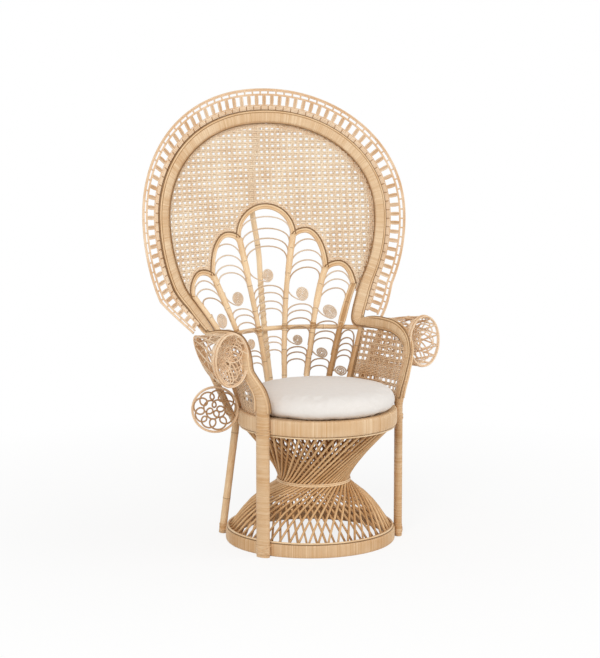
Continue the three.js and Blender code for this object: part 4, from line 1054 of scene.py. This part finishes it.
# Lashings: peel wound round leg and hoop together, with two strips over the face that cross at the base
# and run side by side at the seat
lashing = {"pitch": 4.6, "ridge": 0.6, "sides": 20, "power": 2.3, "tint": 0.62, "mottle": 0.1,
           "base": (8, 40), "seat": (403, 420), "back": (12, 36), "wall": 0.9, "over": 0.5, "square": 0.87,
           "cross": 0.4, "tilt": 0.18, "apart": 0.3, "strip": (2.4, 0.9)}
for word, side, flip in bothSides:
    out = legOut * flip
    across = np.cross(upward, out)
    thick, wide = (size + lashing["wall"] for size in band["leg"][:2])
    turn = around(48)
    x, y = squared(turn, lashing["square"])
    x, y = (thick + lashing["over"]) * x, (wide + lashing["over"]) * y
    for place in ("base", "seat"):
        lowZ, highZ = lashing[place]
        line = joinLine((*band["foot"], lowZ), (*band["foot"], highZ), 12) * flip
        parts = [wound(line, out, thick, wide, lashing)]
        for way in (-1, 1):
            rise = lashing["tilt"] * np.sin(turn) + lashing["apart"] * way
            if place == "base":
                rise = lashing["cross"] * np.sin(turn) * way
            rise = rise * (highZ - lowZ)
            path = line.mean(0) + out * x[:, None] + across * y[:, None] + upward * rise[:, None]
            parts.append(carry(path, upward, oval(*lashing["strip"], 6), True, tint=0.7, groove=0.15))
        node = ("base_strap_front_" if place == "base" else "seat_strap_") + word
        makePiece(node.replace("strap", "lashing"), parts, peelWrap, node)
    lowZ, highZ = lashing["back"]
    foot, head = np.array(backLeg["foot"]), np.array(backLeg["head"])
    x, y, _ = (foot + (head - foot) * (lowZ + highZ) / 2 / band["legTop"]) * flip
    size = backLeg["radius"] + lashing["wall"]
    parts = [wound(joinLine((x, y, lowZ), (x, y, highZ), 12), (1, 0, 0), size, size, dict(lashing, power=2.0))]
    makePiece("base_lashing_back_" + word, parts, peelWrap, "base_strap_back_" + word)

# Cushion: a turned pad with a crowned top, swollen by a short cloth simulation
pad = {"radius": 250, "centreY": -66, "low": 454.2, "height": 66, "side": 28, "under": 46, "belly": 30,
       "crown": 15, "columns": 120, "pole": 0.4, "voxel": 0.006, "pressure": 4.0, "steps": 20,
       "cap": 0.006, "rest": 0.4535}  # voxel, cap and the height it rests at are in metres


# Half section: flat base, a rounded undercut, a rounder shoulder and a crowned top
def padProfile():
    flat, top, belly = pad["radius"] - pad["under"], pad["radius"] - pad["side"], pad["belly"]
    a = np.linspace(0, np.pi / 2, 14)
    r = np.concatenate([np.linspace(0, flat, 20)[:-1], flat + pad["under"] * np.sin(a),
                        (top + pad["side"] * np.cos(a))[1:], np.linspace(top, 0, 20)[1:]])
    z = np.concatenate([np.zeros(19), belly - belly * np.cos(a),
                        (belly + (pad["height"] - belly) * np.sin(a))[1:],
                        pad["height"] + pad["crown"] * (1 - np.linspace(1, 0, 20)[1:] ** 2)])
    return np.maximum(r, pad["pole"])[:, None], (z + pad["low"])[:, None]


padR, padZ = padProfile()
turn = around(pad["columns"])
points = np.stack([padR * np.cos(turn), pad["centreY"] + padR * np.sin(turn), padZ + 0 * turn], -1)
index = np.arange(points.size // 3).reshape(-1, pad["columns"])
quads = np.stack([index[:-1], np.roll(index[:-1], -1, 1), np.roll(index[1:], -1, 1), index[1:]], -1)
faces = quads.reshape(-1, 4).tolist() + [index[0, ::-1].tolist(), index[-1].tolist()]
mesh = bpy.data.meshes.new("cushion_pad")
mesh.from_pydata((points.reshape(-1, 3) * millimetre + [0, axisY, 0]).tolist(), [], faces)
cushion = intoScene("cushion_pad", mesh)


# Mesh of an object as its modifiers leave it, with its points
def shaped(obj):
    mesh = bpy.data.meshes.new_from_object(obj.evaluated_get(bpy.context.evaluated_depsgraph_get()))
    points = np.empty(len(mesh.vertices) * 3)
    mesh.vertices.foreach_get("co", points)
    return mesh, points.reshape(-1, 3)


# Swells the pad: voxel skin, air pressure inside, no weight; no point may move further than the cap
def swell(obj):
    scene = bpy.context.scene
    remesh = obj.modifiers.new("voxels", "REMESH")
    remesh.mode = "VOXEL"
    remesh.voxel_size = pad["voxel"]
    skin, before = shaped(obj)
    obj.modifiers.clear()
    obj.data = skin
    cloth = obj.modifiers.new("cloth", "CLOTH")
    cloth.settings.use_pressure = True
    cloth.settings.uniform_pressure_force = pad["pressure"]
    cloth.settings.effector_weights.gravity = 0
    for step in range(1, pad["steps"] + 1):
        scene.frame_set(step)
    swollen, after = shaped(obj)
    move = after - before
    size = np.linalg.norm(move, axis=1, keepdims=True)
    after = before + move * np.minimum(1, pad["cap"] / np.maximum(size, 1e-9))
    after[:, 2] = np.maximum(after[:, 2], pad["rest"])
    obj.modifiers.clear()
    scene.frame_set(1)
    obj.data = swollen
    swollen.vertices.foreach_set("co", after.astype(np.float32).ravel())
    swollen.update()


swell(cushion)
soft = cushion.modifiers.new("softer", "SUBSURF")
soft.levels = soft.render_levels = 1
cushion.data.polygons.foreach_set("use_smooth", np.ones(len(cushion.data.polygons), bool))
cushion.data.materials.clear()
cushion.data.materials.append(cotton)
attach(cushion, "cushion")
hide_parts("cushion")
print("cushion swollen")

# Floor, world and lamps; a lamp is its place, power and size
stage = {"floor": "#f6f5f3", "size": 40.0, "white": 0.82, "fadeFrom": 0.7, "fadeTo": 2.2, "world": 0.6,
         "aim": (0, 0, 0.7), "key_window": ((-3.2, -3.6, 3.4), 128.0, 2.4),
         "fill_window": ((3.4, -2.6, 2.2), 52.0, 2.8)}


# 1 for a ray that looks at the background, straight or by way of gloss or glass, and 0 for light
def looked(tree):
    path = add(tree, "ShaderNodeLightPath", {}, {})
    through = add(tree, "ShaderNodeMath", {"operation": "MAXIMUM"}, {
        0: path.outputs["Is Glossy Ray"], 1: path.outputs["Is Transmission Ray"]})
    return add(tree, "ShaderNodeMath", {"operation": "MAXIMUM"}, {
        0: path.outputs["Is Camera Ray"], 1: through.outputs[0]}).outputs[0]


# White studio paper: a faint shadow stays near the chair, and further off it glows pure white
paint, tree = blank("studio_paper")
paper = add(tree, "ShaderNodeBsdfDiffuse", {}, {"Color": linear(stage["floor"])})
glow = add(tree, "ShaderNodeEmission", {}, {"Color": (1, 1, 1, 1), "Strength": 1.0})
where = add(tree, "ShaderNodeTexCoord", {}, {})
away = add(tree, "ShaderNodeVectorMath", {"operation": "LENGTH"}, {0: where.outputs["Object"]})
fade = add(tree, "ShaderNodeMapRange", {}, {
    "Value": away.outputs["Value"], "From Min": stage["fadeFrom"], "From Max": stage["fadeTo"],
    "To Min": stage["white"], "To Max": 1.0})
share = add(tree, "ShaderNodeMath", {"operation": "MULTIPLY"}, {0: looked(tree), 1: fade.outputs[0]})
mixed = add(tree, "ShaderNodeMixShader", {}, {0: share.outputs[0], 1: paper.outputs[0], 2: glow.outputs[0]})
add(tree, "ShaderNodeOutputMaterial", {}, {"Surface": mixed.outputs[0]})
ground = bpy.data.meshes.new("studio_floor")
corners = [(x * stage["size"], y * stage["size"], 0) for x, y in ((-1, -1), (1, -1), (1, 1), (-1, 1))]
ground.from_pydata(corners, [], [(0, 1, 2, 3)])
ground.materials.append(paint)
intoScene("studio_floor", ground)

world = bpy.data.worlds.new("studio")
bpy.context.scene.world = world
world.use_nodes = True
tree = world.node_tree
tree.nodes.clear()
level = add(tree, "ShaderNodeMapRange", {}, {"Value": looked(tree), "To Min": stage["world"], "To Max": 1.0})
air = add(tree, "ShaderNodeBackground", {}, {"Color": (1, 1, 1, 1), "Strength": level.outputs[0]})
add(tree, "ShaderNodeOutputWorld", {}, {"Surface": air.outputs[0]})

for name in ("key_window", "fill_window"):
    place, power, size = stage[name]
    lamp = bpy.data.lights.new(name, "AREA")
    lamp.energy = power
    lamp.size = size
    made = intoScene(name, lamp)
    made.location = place
    aim = np.array(stage["aim"]) - place
    made.rotation_euler = (math.acos(-aim[2] / np.linalg.norm(aim)), 0, math.atan2(-aim[0], aim[1]))

# Camera at the photograph's angle; focal length and shift are in the photograph's pixels
view = {"place": (-3.540, -5.445, 1.651), "pitch": 8.24, "turn": 33.03, "focal": 1973.78, "shift": -10.28,
        "tall": 658, "sensor": 36.0}
lens = bpy.data.cameras.new("photo_view")
lens.sensor_width = view["sensor"]
lens.lens = view["sensor"] * view["focal"] / view["tall"]
lens.shift_x = view["shift"] / view["tall"]
camera = intoScene("photo_view", lens)
x, y, z = view["place"]
camera.location = (x, y + axisY, z)
camera.rotation_euler = (math.radians(90 - view["pitch"]), 0, math.radians(-view["turn"]))
bpy.context.scene.camera = camera
bpy.context.scene.view_settings.view_transform = "Standard"
print("stage set")
